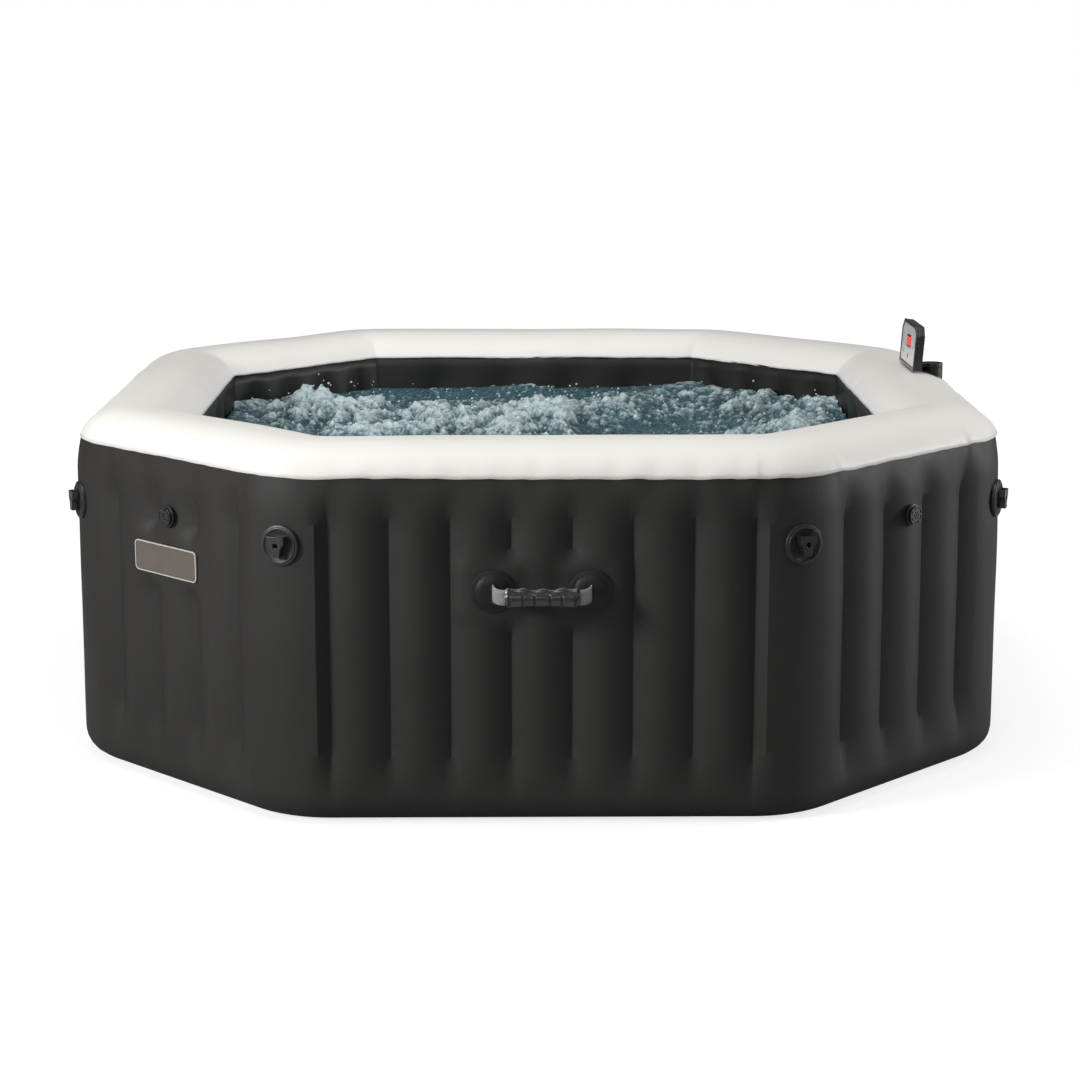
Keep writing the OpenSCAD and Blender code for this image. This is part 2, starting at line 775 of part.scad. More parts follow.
module panel_swivel() {
    color("#1c1c1c") {
        translate([swivel_x, panel_y, boss_top - 11]) cylinder(r = post_r, h = 16);
        translate([swivel_x, panel_y, boss_top + gap]) cylinder(r = boss_r, h = 9);
        translate([swivel_x - 44, panel_y - 18, boss_top + gap]) cube([44, 36, 9]);
    }
}

module panel_shell() {
    color("#262626") difference() {
        in_panel() difference() {
            translate([0, 0, -panel_t]) linear_extrude(panel_t - 6) panel_outline(1);
            translate([0, 0, -panel_t + 2.5]) linear_extrude(panel_t) panel_outline(4);
        }
        translate([swivel_x - 46, panel_y - 18 - gap, boss_top - 5]) cube([46 + gap, 36 + 2 * gap, 14 + 2 * gap]);
    }
}

module panel_bezel() {
    color("#1d1d1d") in_panel() translate([0, 0, gap - 6]) difference() {
        linear_extrude(6 - gap) panel_outline(0);
        translate([0, 0, -1]) linear_extrude(10) panel_outline(7);
    }
}

display_place = [0, 56];
display_w = 50;
display_h = 28;
button_r = 5.5;
// Places of the six buttons on the face: heat, filter, bubbles, warmer, cooler, power
button_places = [[-60, 70], [-60, 50], [-60, 30], [60, 70], [60, 50], [0, 24]];
button_up = 0.8;

module panel_face() {
    color("#d8d8d8") in_panel() translate([0, 0, -face_depth + 1]) difference() {
        linear_extrude(2.4) panel_outline(7 + gap);
        for (p = button_places) translate([p[0], p[1], -1]) cylinder(r = button_r + 0.3, h = 10);
        translate([display_place[0], display_place[1], -1]) linear_extrude(10)
            square([display_w, display_h], center = true);
    }
}

module display_window() {
    color("#5a1512") in_panel() translate([display_place[0], display_place[1], -face_depth + 1.2])
        linear_extrude(2.6) square([display_w - 2 * gap, display_h - 2 * gap], center = true);
}

module button(n) {
    color("#b9bcc0") in_panel() translate([button_places[n][0], button_places[n][1], 0]) {
        translate([0, 0, -face_depth]) cylinder(r = button_r, h = face_depth - 1.6 + button_up);
        translate([0, 0, -face_depth - 1.6]) cylinder(r = button_r + 1.5, h = 2);
    }
}

// ---------------------------------------------------------------- nodes

outer_wall();
top_skin();
inner_wall();
floor_sheet();
wall_webs();
bubble_ring();
name_plate();
handle_pads();
cover_buckle_pads();
cover_buckle_sockets();
air_inlet_flanges();
jet_bodies();
jet_rings();
hoses();
inflation_valve_body();
drain_valve_body();
base_housing();
base_cover();
base_cover_screws();
pump_volute();
pump_motor();
heater_tube();
blower_housing();
control_board();
wall_fittings();
panel_bracket();
pump_impeller();
blower_fan();
handle_strap(0);  // handle_strap_front
handle_strap(180);  // handle_strap_back
handle_strap(270);  // handle_strap_left
handle_grip(0);  // handle_grip_front
handle_grip(180);  // handle_grip_back
handle_grip(270);  // handle_grip_left
air_cap(corner_faces[0]);  // air_cap_1
air_cap(corner_faces[1]);  // air_cap_2
air_cap(corner_faces[2]);  // air_cap_3
air_cap(corner_faces[3]);  // air_cap_4
jet_nozzle(corner_faces[0]);  // jet_nozzle_1
jet_nozzle(corner_faces[1]);  // jet_nozzle_2
jet_nozzle(corner_faces[2]);  // jet_nozzle_3
jet_nozzle(corner_faces[3]);  // jet_nozzle_4
filter_cap(0);  // filter_cap_1
filter_cap(1);  // filter_cap_2
filter_cartridge(0);  // filter_cartridge_1
filter_cartridge(1);  // filter_cartridge_2
inflation_valve_stem();
inflation_valve_cap();
drain_cap();
panel_swivel();
panel_shell();
panel_bezel();
panel_face();
display_window();
button(0);  // button_heat
button(1);  // button_filter
button(2);  // button_bubbles
button(3);  // button_warmer
button(4);  // button_cooler
button(5);  // button_power
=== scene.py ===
import math
import random

import bmesh
import bpy
from mathutils import Matrix, Vector, noise


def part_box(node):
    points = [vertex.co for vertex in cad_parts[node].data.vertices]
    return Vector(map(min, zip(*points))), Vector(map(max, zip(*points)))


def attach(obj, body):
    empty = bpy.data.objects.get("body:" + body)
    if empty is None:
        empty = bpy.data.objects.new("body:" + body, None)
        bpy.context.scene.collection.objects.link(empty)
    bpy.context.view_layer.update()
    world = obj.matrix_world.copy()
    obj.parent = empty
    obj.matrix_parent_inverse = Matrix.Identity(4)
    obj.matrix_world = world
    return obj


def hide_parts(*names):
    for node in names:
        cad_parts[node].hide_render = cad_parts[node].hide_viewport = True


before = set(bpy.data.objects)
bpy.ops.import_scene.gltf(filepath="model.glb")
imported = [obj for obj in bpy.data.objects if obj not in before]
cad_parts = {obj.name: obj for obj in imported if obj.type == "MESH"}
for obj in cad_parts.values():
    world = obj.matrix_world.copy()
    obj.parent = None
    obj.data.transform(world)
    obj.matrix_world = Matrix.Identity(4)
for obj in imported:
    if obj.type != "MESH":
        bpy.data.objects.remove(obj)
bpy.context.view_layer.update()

# ---------------------------------------------------------------- studio
# The tub stands alone on a pale floor. The camera looks at its front face from a little above,
# with a long lens. A large soft light high on the left models the ribs, and weaker ones fill in.
camera_data = bpy.data.cameras.new("camera")
camera_data.lens = 80.19
camera_data.sensor_width = 36
camera = bpy.data.objects.new("camera", camera_data)
camera.location = (-0.0491, -5.2088, 1.4448)
camera.rotation_euler = Vector((0.01037, 0.97829, -0.20699)).to_track_quat("-Z", "Y").to_euler()
bpy.context.scene.collection.objects.link(camera)
bpy.context.scene.camera = camera
bpy.context.scene.view_settings.view_transform = "Standard"

soft_lights = [
    ("key_left", (-3.6, -2.75, 2.0), 1.0, 140),
    ("front_soft", (-1.1, -5.3, 2.7), 1.5, 32),
    ("top_soft", (-0.2, -0.7, 4.2), 3.0, 102),
    ("right_side", (5.0, 0.1, 1.6), 1.6, 150),
]
for light_name, light_place, light_size, light_power in soft_lights:
    light_data = bpy.data.lights.new(light_name, "AREA")
    light_data.shape = "SQUARE"
    light_data.size = light_size
    light_data.energy = light_power
    light = bpy.data.objects.new(light_name, light_data)
    light.location = light_place
    light.rotation_euler = (Vector((0, 0, 0.4)) - Vector(light_place)).to_track_quat("-Z", "Y").to_euler()
    bpy.context.scene.collection.objects.link(light)

# The room is a dim soft white for the tub, and plain white where the camera sees it
world = bpy.data.worlds.new("studio")
world.use_nodes = True
room = world.node_tree.nodes["Background"]
room.inputs["Color"].default_value = (1, 1, 1, 1)
room.inputs["Strength"].default_value = 0.11
seen = world.node_tree.nodes.new("ShaderNodeBackground")
seen.label = "White behind the tub"
seen.inputs["Color"].default_value = (1, 1, 1, 1)
seen.inputs["Strength"].default_value = 1.0
rays = world.node_tree.nodes.new("ShaderNodeLightPath")
choose = world.node_tree.nodes.new("ShaderNodeMixShader")
world.node_tree.links.new(rays.outputs["Is Camera Ray"], choose.inputs["Fac"])
world.node_tree.links.new(room.outputs["Background"], choose.inputs[1])
world.node_tree.links.new(seen.outputs["Background"], choose.inputs[2])
world.node_tree.links.new(choose.outputs["Shader"], world.node_tree.nodes["World Output"].inputs["Surface"])
bpy.context.scene.world = world

# The floor glows a little like a light table, more so away from the tub, so only a faint shadow shows
floor_paint = bpy.data.materials.new("studio_floor")
floor_paint.use_nodes = True
tree = floor_paint.node_tree
nodes = tree.nodes
nodes.clear()
place = nodes.new("ShaderNodeTexCoord")
place.label = "Place on the floor"
place.location = (-900, 200)
away = nodes.new("ShaderNodeVectorMath")
away.label = "Distance from the tub"
away.location = (-700, 200)
away.operation = "LENGTH"
brighter = nodes.new("ShaderNodeMapRange")
brighter.label = "Brighter further out"
brighter.location = (-500, 200)
brighter.inputs["From Min"].default_value = 1.2
brighter.inputs["From Max"].default_value = 3.4
brighter.inputs["To Min"].default_value = 0.74
brighter.inputs["To Max"].default_value = 0.99
glow = nodes.new("ShaderNodeEmission")
glow.label = "Glow of the table"
glow.location = (-280, 200)
matt = nodes.new("ShaderNodeBsdfDiffuse")
matt.label = "Matt white top"
matt.location = (-280, 60)
matt.inputs["Color"].default_value = (0.34, 0.34, 0.34, 1)
both = nodes.new("ShaderNodeAddShader")
both.label = "Glow and top"
both.location = (-60, 140)
bounce = nodes.new("ShaderNodeBsdfDiffuse")
bounce.label = "Light thrown back at the tub"
bounce.location = (-60, -20)
bounce.inputs["Color"].default_value = (0.42, 0.42, 0.42, 1)
rays = nodes.new("ShaderNodeLightPath")
rays.label = "Seen or lighting"
rays.location = (-60, 500)
choose = nodes.new("ShaderNodeMixShader")
choose.label = "Glow where seen"
choose.location = (160, 140)
output = nodes.new("ShaderNodeOutputMaterial")
output.location = (360, 140)
tree.links.new(place.outputs["Object"], away.inputs[0])
tree.links.new(away.outputs["Value"], brighter.inputs["Value"])
tree.links.new(brighter.outputs["Result"], glow.inputs["Strength"])
tree.links.new(glow.outputs["Emission"], both.inputs[0])
tree.links.new(matt.outputs["BSDF"], both.inputs[1])
tree.links.new(rays.outputs["Is Camera Ray"], choose.inputs["Fac"])
tree.links.new(bounce.outputs["BSDF"], choose.inputs[1])
tree.links.new(both.outputs["Shader"], choose.inputs[2])
tree.links.new(choose.outputs["Shader"], output.inputs["Surface"])
floor_bm = bmesh.new()
bmesh.ops.create_grid(floor_bm, x_segments=1, y_segments=1, size=60)
floor_mesh = bpy.data.meshes.new("studio_floor")
floor_bm.to_mesh(floor_mesh)
floor_bm.free()
floor_mesh.materials.append(floor_paint)
studio_floor = bpy.data.objects.new("studio_floor", floor_mesh)
bpy.context.scene.collection.objects.link(studio_floor)


# ---------------------------------------------------------------- outer wall
# The wall's outside is one laminated dark grey vinyl skin. Webs welded inside hold it back along
# upright lines, so the air puffs it out between them into ribs. It puckers where each web ends and
# where it is welded to the top skin, and it rolls under the tub at its foot.
low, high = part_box("outer_wall")
half = high.x
seam_z = high.z
edge = 0.485
corner_r = 0.215
foot_r = 0.048
slope = math.tan(math.pi / 8)
short_edge = (half - edge) / math.sqrt(2)
short_dist = (half + edge) / math.sqrt(2)
main_straight = edge - corner_r * slope
short_straight = short_edge - corner_r * slope
arc_len = corner_r * math.pi / 4
quarter = 2 * (main_straight + short_straight + arc_len)
girth = 4 * quarter


def heading(angle):
    """A level direction: 0 is out of the front face, and a quarter turn is out of the right face."""
    return Vector((math.sin(angle), -math.cos(angle), 0))


def smooth_step(x):
    x = min(max(x, 0.0), 1.0)
    return x * x * (3 - 2 * x)


def wall_point(u, inset):
    """The wall's outline at an inset, u metres round it from the middle of the front face.
    Gives the point, the angle it faces, the face's number or None on a corner, and s along the face."""
    turn, w = divmod(u + main_straight, quarter)
    r = max(corner_r - inset, 0.012)
    main = edge - (inset + r) * slope
    short = short_edge - (inset + r) * slope
    face, s = None, 0.0
    if w <= 2 * main_straight:
        face, angle = 0, 0.0
        s = (w - main_straight) * main / main_straight
        point = Vector((s, inset - half, 0))
    elif w < 2 * main_straight + arc_len:
        angle = (w - 2 * main_straight) / arc_len * math.pi / 4
        corner = Vector((edge - inset * slope, inset - half, 0))
        point = corner - heading(math.pi / 8) * r / math.cos(math.pi / 8) + heading(angle) * r
    elif w <= quarter - arc_len:
        face, angle = 1, math.pi / 4
        s = (w - 2 * main_straight - arc_len - short_straight) * short / short_straight
        point = heading(angle) * (short_dist - inset) + Vector((s, s, 0)) / math.sqrt(2)
    else:
        angle = (w - quarter + arc_len) / arc_len * math.pi / 4 + math.pi / 4
        corner = Vector((half - inset, inset * slope - edge, 0))
        point = corner - heading(3 * math.pi / 8) * r / math.cos(math.pi / 8) + heading(angle) * r
    point.rotate(Matrix.Rotation(turn * math.pi / 2, 3, "Z"))
    if face is not None:
        face = (face + 2 * int(turn)) % 8
    return point, angle + turn * math.pi / 2, face, s


def stations(main_webs, short_webs, steps):
    """Places round the outline for a mesh's columns, with one on every web line."""
    places = []
    for turn in range(4):
        middle = turn * quarter
        marks = [middle - main_straight] + [middle + s for s in main_webs] + [middle + main_straight]
        middle += main_straight + arc_len + short_straight
        marks += [middle - short_straight] + [middle + s for s in short_webs] + [middle + short_straight]
        marks.append(marks[-1] + arc_len)
        for a, b in zip(marks, marks[1:]):
            places += [a + (b - a) * k / steps for k in range(steps)]
    places.append(places[0] + girth)
    return places


def band(columns, rows, place):
    """A skin round the tub: a grid with its points put by place(u, v), joined where its ends meet."""
    bm = bmesh.new()
    bmesh.ops.create_grid(bm, x_segments=len(columns) - 1, y_segments=rows, size=0.5)
    for v in bm.verts:
        v.co = place(columns[round((v.co.x + 0.5) * (len(columns) - 1))], v.co.y + 0.5)
    bmesh.ops.remove_doubles(bm, verts=bm.verts, dist=0.00002)
    return bm


def make_piece(name, bm, material, body, nodes=(), crease=0.6):
    """Turns bm into a finished piece that rides on a body and stands for CAD nodes."""
    for face in bm.faces:
        face.smooth = True
    for e in bm.edges:
        e.smooth = len(e.link_faces) != 2 or e.calc_face_angle(0) < crease
    mesh = bpy.data.meshes.new(name)
    bm.to_mesh(mesh)
    bm.free()
    mesh.materials.append(material)
    piece = bpy.data.objects.new(name, mesh)
    bpy.context.scene.collection.objects.link(piece)
    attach(piece, body)
    if nodes:
        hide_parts(*nodes)
    return piece


def vinyl(name, dark, light, roughness, grain, grain_height, mottle):
    """Laminated vinyl: two close shades in soft clouds, a fine leather grain and a dusty sheen."""
    material = bpy.data.materials.new(name)
    material.use_nodes = True
    tree = material.node_tree
    nodes = tree.nodes
    nodes.clear()

    colour_frame = nodes.new("NodeFrame")
    colour_frame.label = "Cloudy colour"
    grain_frame = nodes.new("NodeFrame")
    grain_frame.label = "Leather grain"
    sheen_frame = nodes.new("NodeFrame")
    sheen_frame.label = "Dusty sheen"

    place = nodes.new("ShaderNodeTexCoord")
    place.label = "Place on the skin"
    place.location = (-1100, 0)

    clouds = nodes.new("ShaderNodeTexNoise")
    clouds.label = "Soft clouds"
    clouds.location = (-850, 250)
    clouds.parent = colour_frame
    clouds.inputs["Scale"].default_value = mottle
    clouds.inputs["Detail"].default_value = 4.0
    clouds.inputs["Roughness"].default_value = 0.55

    shades = nodes.new("ShaderNodeValToRGB")
    shades.label = "Two close shades"
    shades.location = (-600, 250)
    shades.parent = colour_frame
    shades.color_ramp.elements[0].position = 0.3
    shades.color_ramp.elements[0].color = (*dark, 1)
    shades.color_ramp.elements[1].position = 0.7
    shades.color_ramp.elements[1].color = (*light, 1)

    cells = nodes.new("ShaderNodeTexVoronoi")
    cells.label = "Grain cells"
    cells.location = (-850, -150)
    cells.parent = grain_frame
    cells.feature = "SMOOTH_F1"
    cells.inputs["Scale"].default_value = grain
    cells.inputs["Smoothness"].default_value = 0.6

    fibres = nodes.new("ShaderNodeTexNoise")
    fibres.label = "Fabric under the film"
    fibres.location = (-850, -420)
    fibres.parent = grain_frame
    fibres.inputs["Scale"].default_value = grain * 0.35
    fibres.inputs["Detail"].default_value = 3.0

    relief = nodes.new("ShaderNodeMath")
    relief.label = "Grain and fabric"
    relief.location = (-600, -250)
    relief.parent = grain_frame
    relief.operation = "ADD"

    bump = nodes.new("ShaderNodeBump")
    bump.label = "Raised grain"
    bump.location = (-350, -250)
    bump.parent = grain_frame
    bump.inputs["Strength"].default_value = 0.55
    bump.inputs["Distance"].default_value = grain_height

    dust = nodes.new("ShaderNodeTexNoise")
    dust.label = "Dusty patches"
    dust.location = (-850, 0)
    dust.parent = sheen_frame
    dust.inputs["Scale"].default_value = 9.0
    dust.inputs["Detail"].default_value = 6.0

    sheen = nodes.new("ShaderNodeMapRange")
    sheen.label = "Uneven gloss"
    sheen.location = (-600, 0)
    sheen.parent = sheen_frame
    sheen.inputs["To Min"].default_value = roughness - 0.07
    sheen.inputs["To Max"].default_value = roughness + 0.09

    surface = nodes.new("ShaderNodeBsdfPrincipled")
    surface.label = "Vinyl film"
    surface.location = (-50, 100)
    surface.inputs["Specular IOR Level"].default_value = 0.22

    output = nodes.new("ShaderNodeOutputMaterial")
    output.location = (250, 100)

    tree.links.new(place.outputs["Object"], clouds.inputs["Vector"])
    tree.links.new(place.outputs["Object"], cells.inputs["Vector"])
    tree.links.new(place.outputs["Object"], fibres.inputs["Vector"])
    tree.links.new(place.outputs["Object"], dust.inputs["Vector"])
    tree.links.new(clouds.outputs["Fac"], shades.inputs["Fac"])
    tree.links.new(shades.outputs["Color"], surface.inputs["Base Color"])
    tree.links.new(cells.outputs["Distance"], relief.inputs[0])
    tree.links.new(fibres.outputs["Fac"], relief.inputs[1])
    tree.links.new(relief.outputs["Value"], bump.inputs["Height"])
    tree.links.new(bump.outputs["Normal"], surface.inputs["Normal"])
    tree.links.new(dust.outputs["Fac"], sheen.inputs["Value"])
    tree.links.new(sheen.outputs["Result"], surface.inputs["Roughness"])
    tree.links.new(surface.outputs["BSDF"], output.inputs["Surface"])
    return material


main_pitch = 0.112
short_pitch = 0.124
main_last = 3.5 * main_pitch
short_last = 1.5 * short_pitch
rib_depth = 0.019
web_top = 0.622
web_foot = 0.070
skin_depth = 0.003

# Round or oblong fittings that hold the skin flat under them: face, place along it, height, half sizes
handle_z = (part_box("handle_grip_front")[0].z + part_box("handle_grip_front")[1].z) / 2
flat_spots = [(face, s, handle_z, 0.036, 0.036) for face in (0, 4, 6) for s in (-0.09, 0.09)]
flat_spots += [
    (7, -0.010, 0.453, 0.092, 0.026),
    (4, 0.250, 0.330, 0.022, 0.022),
    (6, 0.250, 0.120, 0.026, 0.026),
    (2, 0.0, 0.316, 0.230, 0.270),
]


def held_flat(face, s, z):
    """1 where a fitting holds the skin flat, falling to 0 a finger's width away."""
    held = 0.0
    for spot_face, spot_s, spot_z, half_w, half_h in flat_spots:
        if face == spot_face:
            away = math.hypot(max(abs(s - spot_s) - half_w, 0), max(abs(z - spot_z) - half_h, 0))
            held = max(held, 1 - smooth_step(away / 0.045))
    return held


def web_dip(s, pitch, last, depth):
    """How far the air chamber's skin falls back at s: full at a web, nothing between two webs."""
    beyond = abs(s) - last
    if beyond > 0:
        return depth * max(0.0, 1 - beyond / (0.55 * pitch)) ** 2.0
    return depth * (2 * abs(s / pitch - round(s / pitch))) ** 1.75


def seam_wave(point):
    """The weld between two skins wanders up and down a little."""
    return 0.0022 * noise.noise(point * 7.0) + 0.0012 * noise.noise(point * 31.0)


def pleats(point, height, scale):
    """Upright puckers, stronger in some places than in others."""
    patch = 0.45 + 1.5 * max(0.0, noise.noise(point * 2.3 + Vector((3.1, 0.4, 0))) + 0.30)
    fold = noise.noise(Vector((point.x * scale, point.y * scale, height * scale * 0.22)))
    fine = noise.noise(Vector((point.x * scale * 2.3, point.y * scale * 2.3, height * scale * 0.4 + 5)))
    return patch * (0.7 * fold + 0.4 * fine)


side_len = seam_z - foot_r
foot_len = foot_r * math.pi / 2


def outer_place(u, v):
    """A point of the outer skin: u round the tub, v from under the foot up to the seam."""
    along = (foot_len + side_len) * (1 - (1 - v) ** 1.18)
    flat_point, angle, face, s = wall_point(u, 0)
    if along < foot_len:
        a = along / foot_r
        inset = foot_r * (1 - math.sin(a))
        z = foot_r * (1 - math.cos(a))
    else:
        inset = 0.0
        z = foot_r + along - foot_len
    inset += 0.004 * smooth_step((z - 0.34) / 0.30)
    lean = max(0.0, (z - 0.585) / (seam_z - 0.585))
    inset += 0.011 * lean ** 1.7
    dip = 0.0
    if face is not None:
        pitch = main_pitch if face % 2 == 0 else short_pitch
        last = main_last if face % 2 == 0 else short_last
        dip = web_dip(s, pitch, last, rib_depth)
    reach = smooth_step((z - web_foot + 0.045) / 0.13) * smooth_step((web_top + 0.026 - z) / 0.10)
    calm = 1 - held_flat(face, s, z)
    inset += dip * reach * calm
    near_seam = smooth_step((z - seam_z + 0.075) / 0.075)
    near_foot = smooth_step((0.115 - z) / 0.09) * smooth_step(z / 0.02)
    inset -= 0.0052 * near_seam * pleats(flat_point, 0.2 * z, 24.0)
    inset += 0.0020 * near_foot * pleats(flat_point, z + 3, 22.0)
    roll = noise.noise(Vector((flat_point.x * 3.2, flat_point.y * 3.2, z * 4.5)))
    inset += 0.0022 * roll * calm * smooth_step(z / 0.08)
    point, angle, face, s = wall_point(u, max(inset, -0.004))
    point.z = z + smooth_step((z - 0.6) / 0.05) * seam_wave(flat_point)
    return point


wall_vinyl = vinyl("wall_vinyl", (0.0225, 0.0215, 0.0205), (0.030, 0.0287, 0.0275), 0.55, 520, 0.0004, 2.2)
wall_columns = stations(
    [main_pitch * (k - 3.5) for k in range(8)],
    [short_pitch * (k - 1.5) for k in range(4)],
    9,
)
wall_bm = band(wall_columns, 66, outer_place)
window = [
    f for f in wall_bm.faces
    if f.calc_center_median().x > half - 0.05
    and abs(f.calc_center_median().y) < 0.222
    and 0.060 < f.calc_center_median().z < 0.572
]
bmesh.ops.delete(wall_bm, geom=window, context="FACES")
bmesh.ops.recalc_face_normals(wall_bm, faces=wall_bm.faces)
outer_skin = make_piece("outer_skin", wall_bm, wall_vinyl, "tub", ["outer_wall"], 0.75)
outer_skin.modifiers.new("film", "SOLIDIFY").thickness = skin_depth


# ---------------------------------------------------------------- top skin
# The rim you lean on is a warm white vinyl skin, puffed up between the seams to the outer and the
# inner wall. It is cut a little long, so it gathers into short pleats along both seams.
low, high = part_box("top_skin")
crown_z = high.z
wall_depth = 0.230
seam_inset = 0.0115
crown_half = (wall_depth - seam_inset) / 2
crown_rise = crown_z - seam_z
crown_r = (crown_half ** 2 + crown_rise ** 2) / (2 * crown_rise)
crown_angle = math.asin(crown_half / crown_r)


def top_place(u, v):
    """A point of the top skin: u round the tub, v from the outer seam over the crown to the inner seam."""
    a = crown_angle * (2 * v - 1)
    inset = seam_inset + crown_half + crown_r * math.sin(a)
    z = crown_z - crown_r + crown_r * math.cos(a)
    # the puffed skin stands fuller over the seams than a plain arc does
    full = math.sin(math.pi * v) * abs(2 * v - 1) ** 1.2
    flat_point, angle, face, s = wall_point(u, inset)
    outer = smooth_step(1 - v / 0.30)
    inner = smooth_step(1 - (1 - v) / 0.22)
    lift = 0.013 * full
    lift += 0.0072 * outer * pleats(wall_point(u, 0)[0], 0.2 * (seam_z + 0.2 * v), 24.0)
    lift += 0.0046 * inner * pleats(flat_point, 9, 26.0)
    lift += 0.0030 * noise.noise(flat_point * 4.2) * math.sin(math.pi * v)
    out = heading(angle) * -math.sin(a) + Vector((0, 0, math.cos(a)))
    point = Vector((flat_point.x, flat_point.y, z)) + out * lift
    point.z += seam_wave(flat_point) * (outer + inner)
    if v < 0.02:
        point += heading(angle) * 0.0015 - Vector((0, 0, 0.0035))
    return point


rim_vinyl = vinyl("rim_vinyl", (0.71, 0.685, 0.66), (0.77, 0.745, 0.72), 0.42, 520, 0.00035, 1.6)
top_bm = band(wall_columns, 44, top_place)
bmesh.ops.recalc_face_normals(top_bm, faces=top_bm.faces)
top_skin = make_piece("rim_skin", top_bm, rim_vinyl, "tub", ["top_skin"], 1.2)
top_skin.modifiers.new("film", "SOLIDIFY").thickness = skin_depth


# ---------------------------------------------------------------- liner
# The inside of the wall is a near-black vinyl skin. Fewer webs hold it, so its ribs are broader. It
# runs from the floor up to the weld with the top skin.
inner_main_pitch = 0.160
inner_short_pitch = 0.108
liner_shrink = (edge - (wall_depth + 0.012) * slope) / main_straight


def liner_place(u, v):
    """A point of the inner skin: u round the tub, v from the floor up to the top skin's seam."""
    z = 0.0036 + v * (seam_z - 0.0025)
    flat_point, angle, face, s = wall_point(u, wall_depth)
    dip = 0.0
    if face is not None:
        pitch = inner_main_pitch if face % 2 == 0 else inner_short_pitch
        dip = web_dip(s, pitch, 1.5 * pitch, 0.016)
    reach = smooth_step((z - 0.05) / 0.06) * smooth_step((seam_z - 0.012 - z) / 0.05)
    dip *= reach
    dip += 0.0022 * smooth_step((z - seam_z + 0.06) / 0.06) * (1 + pleats(flat_point, z, 26.0))
    point, angle, face, s = wall_point(u, wall_depth - dip)
    point.z = z + smooth_step((z - 0.6) / 0.05) * seam_wave(flat_point)
    return point


liner_vinyl = vinyl("liner_vinyl", (0.015, 0.015, 0.015), (0.023, 0.022, 0.022), 0.45, 480, 0.0004, 3.0)
liner_columns = stations(
    [inner_main_pitch * (k - 1.5) / liner_shrink for k in range(4)],
    [inner_short_pitch * (k - 1.5) * short_straight / (short_edge - 0.242 * slope) for k in range(4)],
    8,
)
liner_bm = band(liner_columns, 26, liner_place)
bmesh.ops.recalc_face_normals(liner_bm, faces=liner_bm.faces)
for liner_face in liner_bm.faces:
    middle = liner_face.calc_center_median()
    if liner_face.normal.dot(Vector((middle.x, middle.y, 0))) > 0:
        liner_face.normal_flip()
liner = make_piece("liner", liner_bm, liner_vinyl, "tub", ["inner_wall"], 1.2)
liner.modifiers.new("film", "SOLIDIFY").thickness = skin_depth

# The webs end on the two skins, which are drawn in to meet them
webs_bm = bmesh.new()
webs_bm.from_mesh(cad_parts["wall_webs"].data)
face_dist = [half, short_dist]
for v in webs_bm.verts:
    nearest = max(range(8), key=lambda n: v.co.dot(heading(n * math.pi / 4)) - face_dist[n % 2])
    out = heading(nearest * math.pi / 4)
    inset = face_dist[nearest % 2] - v.co.dot(out)
    v.co += out * (inset - min(max(inset, rib_depth + 0.009), wall_depth - 0.022))
make_piece("skin_webs", webs_bm, wall_vinyl, "tub", ["wall_webs"])
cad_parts["floor_sheet"].data.materials.clear()
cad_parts["floor_sheet"].data.materials.append(wall_vinyl)
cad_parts["bubble_ring"].data.materials.clear()
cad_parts["bubble_ring"].data.materials.append(liner_vinyl)


# ---------------------------------------------------------------- water
# The basin is filled to a hand's width below the rim. The blower's air churns the surface into
# steep little waves with white foam on their crests, and throws up drops.
water_z = 0.592
basin_inset = wall_depth + 0.001
basin_half = half - basin_inset


def churn(x, y):
    """Height of the boiling surface above its level, and how much foam lies there, from 0 to 1."""
    p = Vector((x, y, 0.0))
    warp = noise.noise_vector(p * 4.0) * 0.08
    q = p + Vector((warp.x, warp.y, 0))
    boil = smooth_step(noise.noise(q * 2.3 + Vector((5, 5, 5))) * 1.3 + 0.60)
    swell = noise.noise(q * 2.6 + Vector((0, 0, 4.0)))
    heaps = abs(noise.noise(q * 6.5))
    lumps = abs(noise.noise(q * 16.0 + Vector((7, 2, 1))))
    bubbles = abs(noise.noise(q * 40.0 + Vector((1, 9, 3))))
    fizz = abs(noise.noise(q * 100.0))
    height = 0.016 * swell + boil * (0.078 * heaps + 0.036 * lumps)
    height += (0.4 + 0.6 * boil) * (0.024 * bubbles + 0.013 * fizz)
    foam = boil * (1.5 * heaps + 1.0 * lumps) + 1.2 * bubbles + 1.0 * fizz - 0.68
    return height - 0.028, min(max(foam, 0.0), 1.0)


water_bm = bmesh.new()
bmesh.ops.create_grid(water_bm, x_segments=290, y_segments=290, size=basin_half)
for n in range(4):
    away = heading(math.pi / 4 + n * math.pi / 2)
    bmesh.ops.bisect_plane(
        water_bm,
        geom=water_bm.verts[:] + water_bm.edges[:] + water_bm.faces[:],
        dist=0.00001,
        plane_co=away * (short_dist - basin_inset),
        plane_no=away,
        clear_outer=True,
    )
foam_layer = water_bm.verts.layers.float.new("foam")
for v in water_bm.verts:
    rise, foam = churn(v.co.x, v.co.y)
    shore = max(abs(v.co.x), abs(v.co.y)) / basin_half
    shore = max(shore, (abs(v.co.x) + abs(v.co.y)) / math.sqrt(2) / (short_dist - basin_inset))
    calm = 1 - 0.55 * smooth_step((shore - 0.86) / 0.14)
    v.co.z = water_z + rise * calm
    v[foam_layer] = foam
shore_edges = [e for e in water_bm.edges if e.is_boundary]
sides = bmesh.ops.extrude_edge_only(water_bm, edges=shore_edges)["geom"]
for v in sides:
    if isinstance(v, bmesh.types.BMVert):
        v.co.z = 0.034
        v[foam_layer] = 0.0
bmesh.ops.holes_fill(water_bm, edges=[e for e in water_bm.edges if e.is_boundary], sides=0)
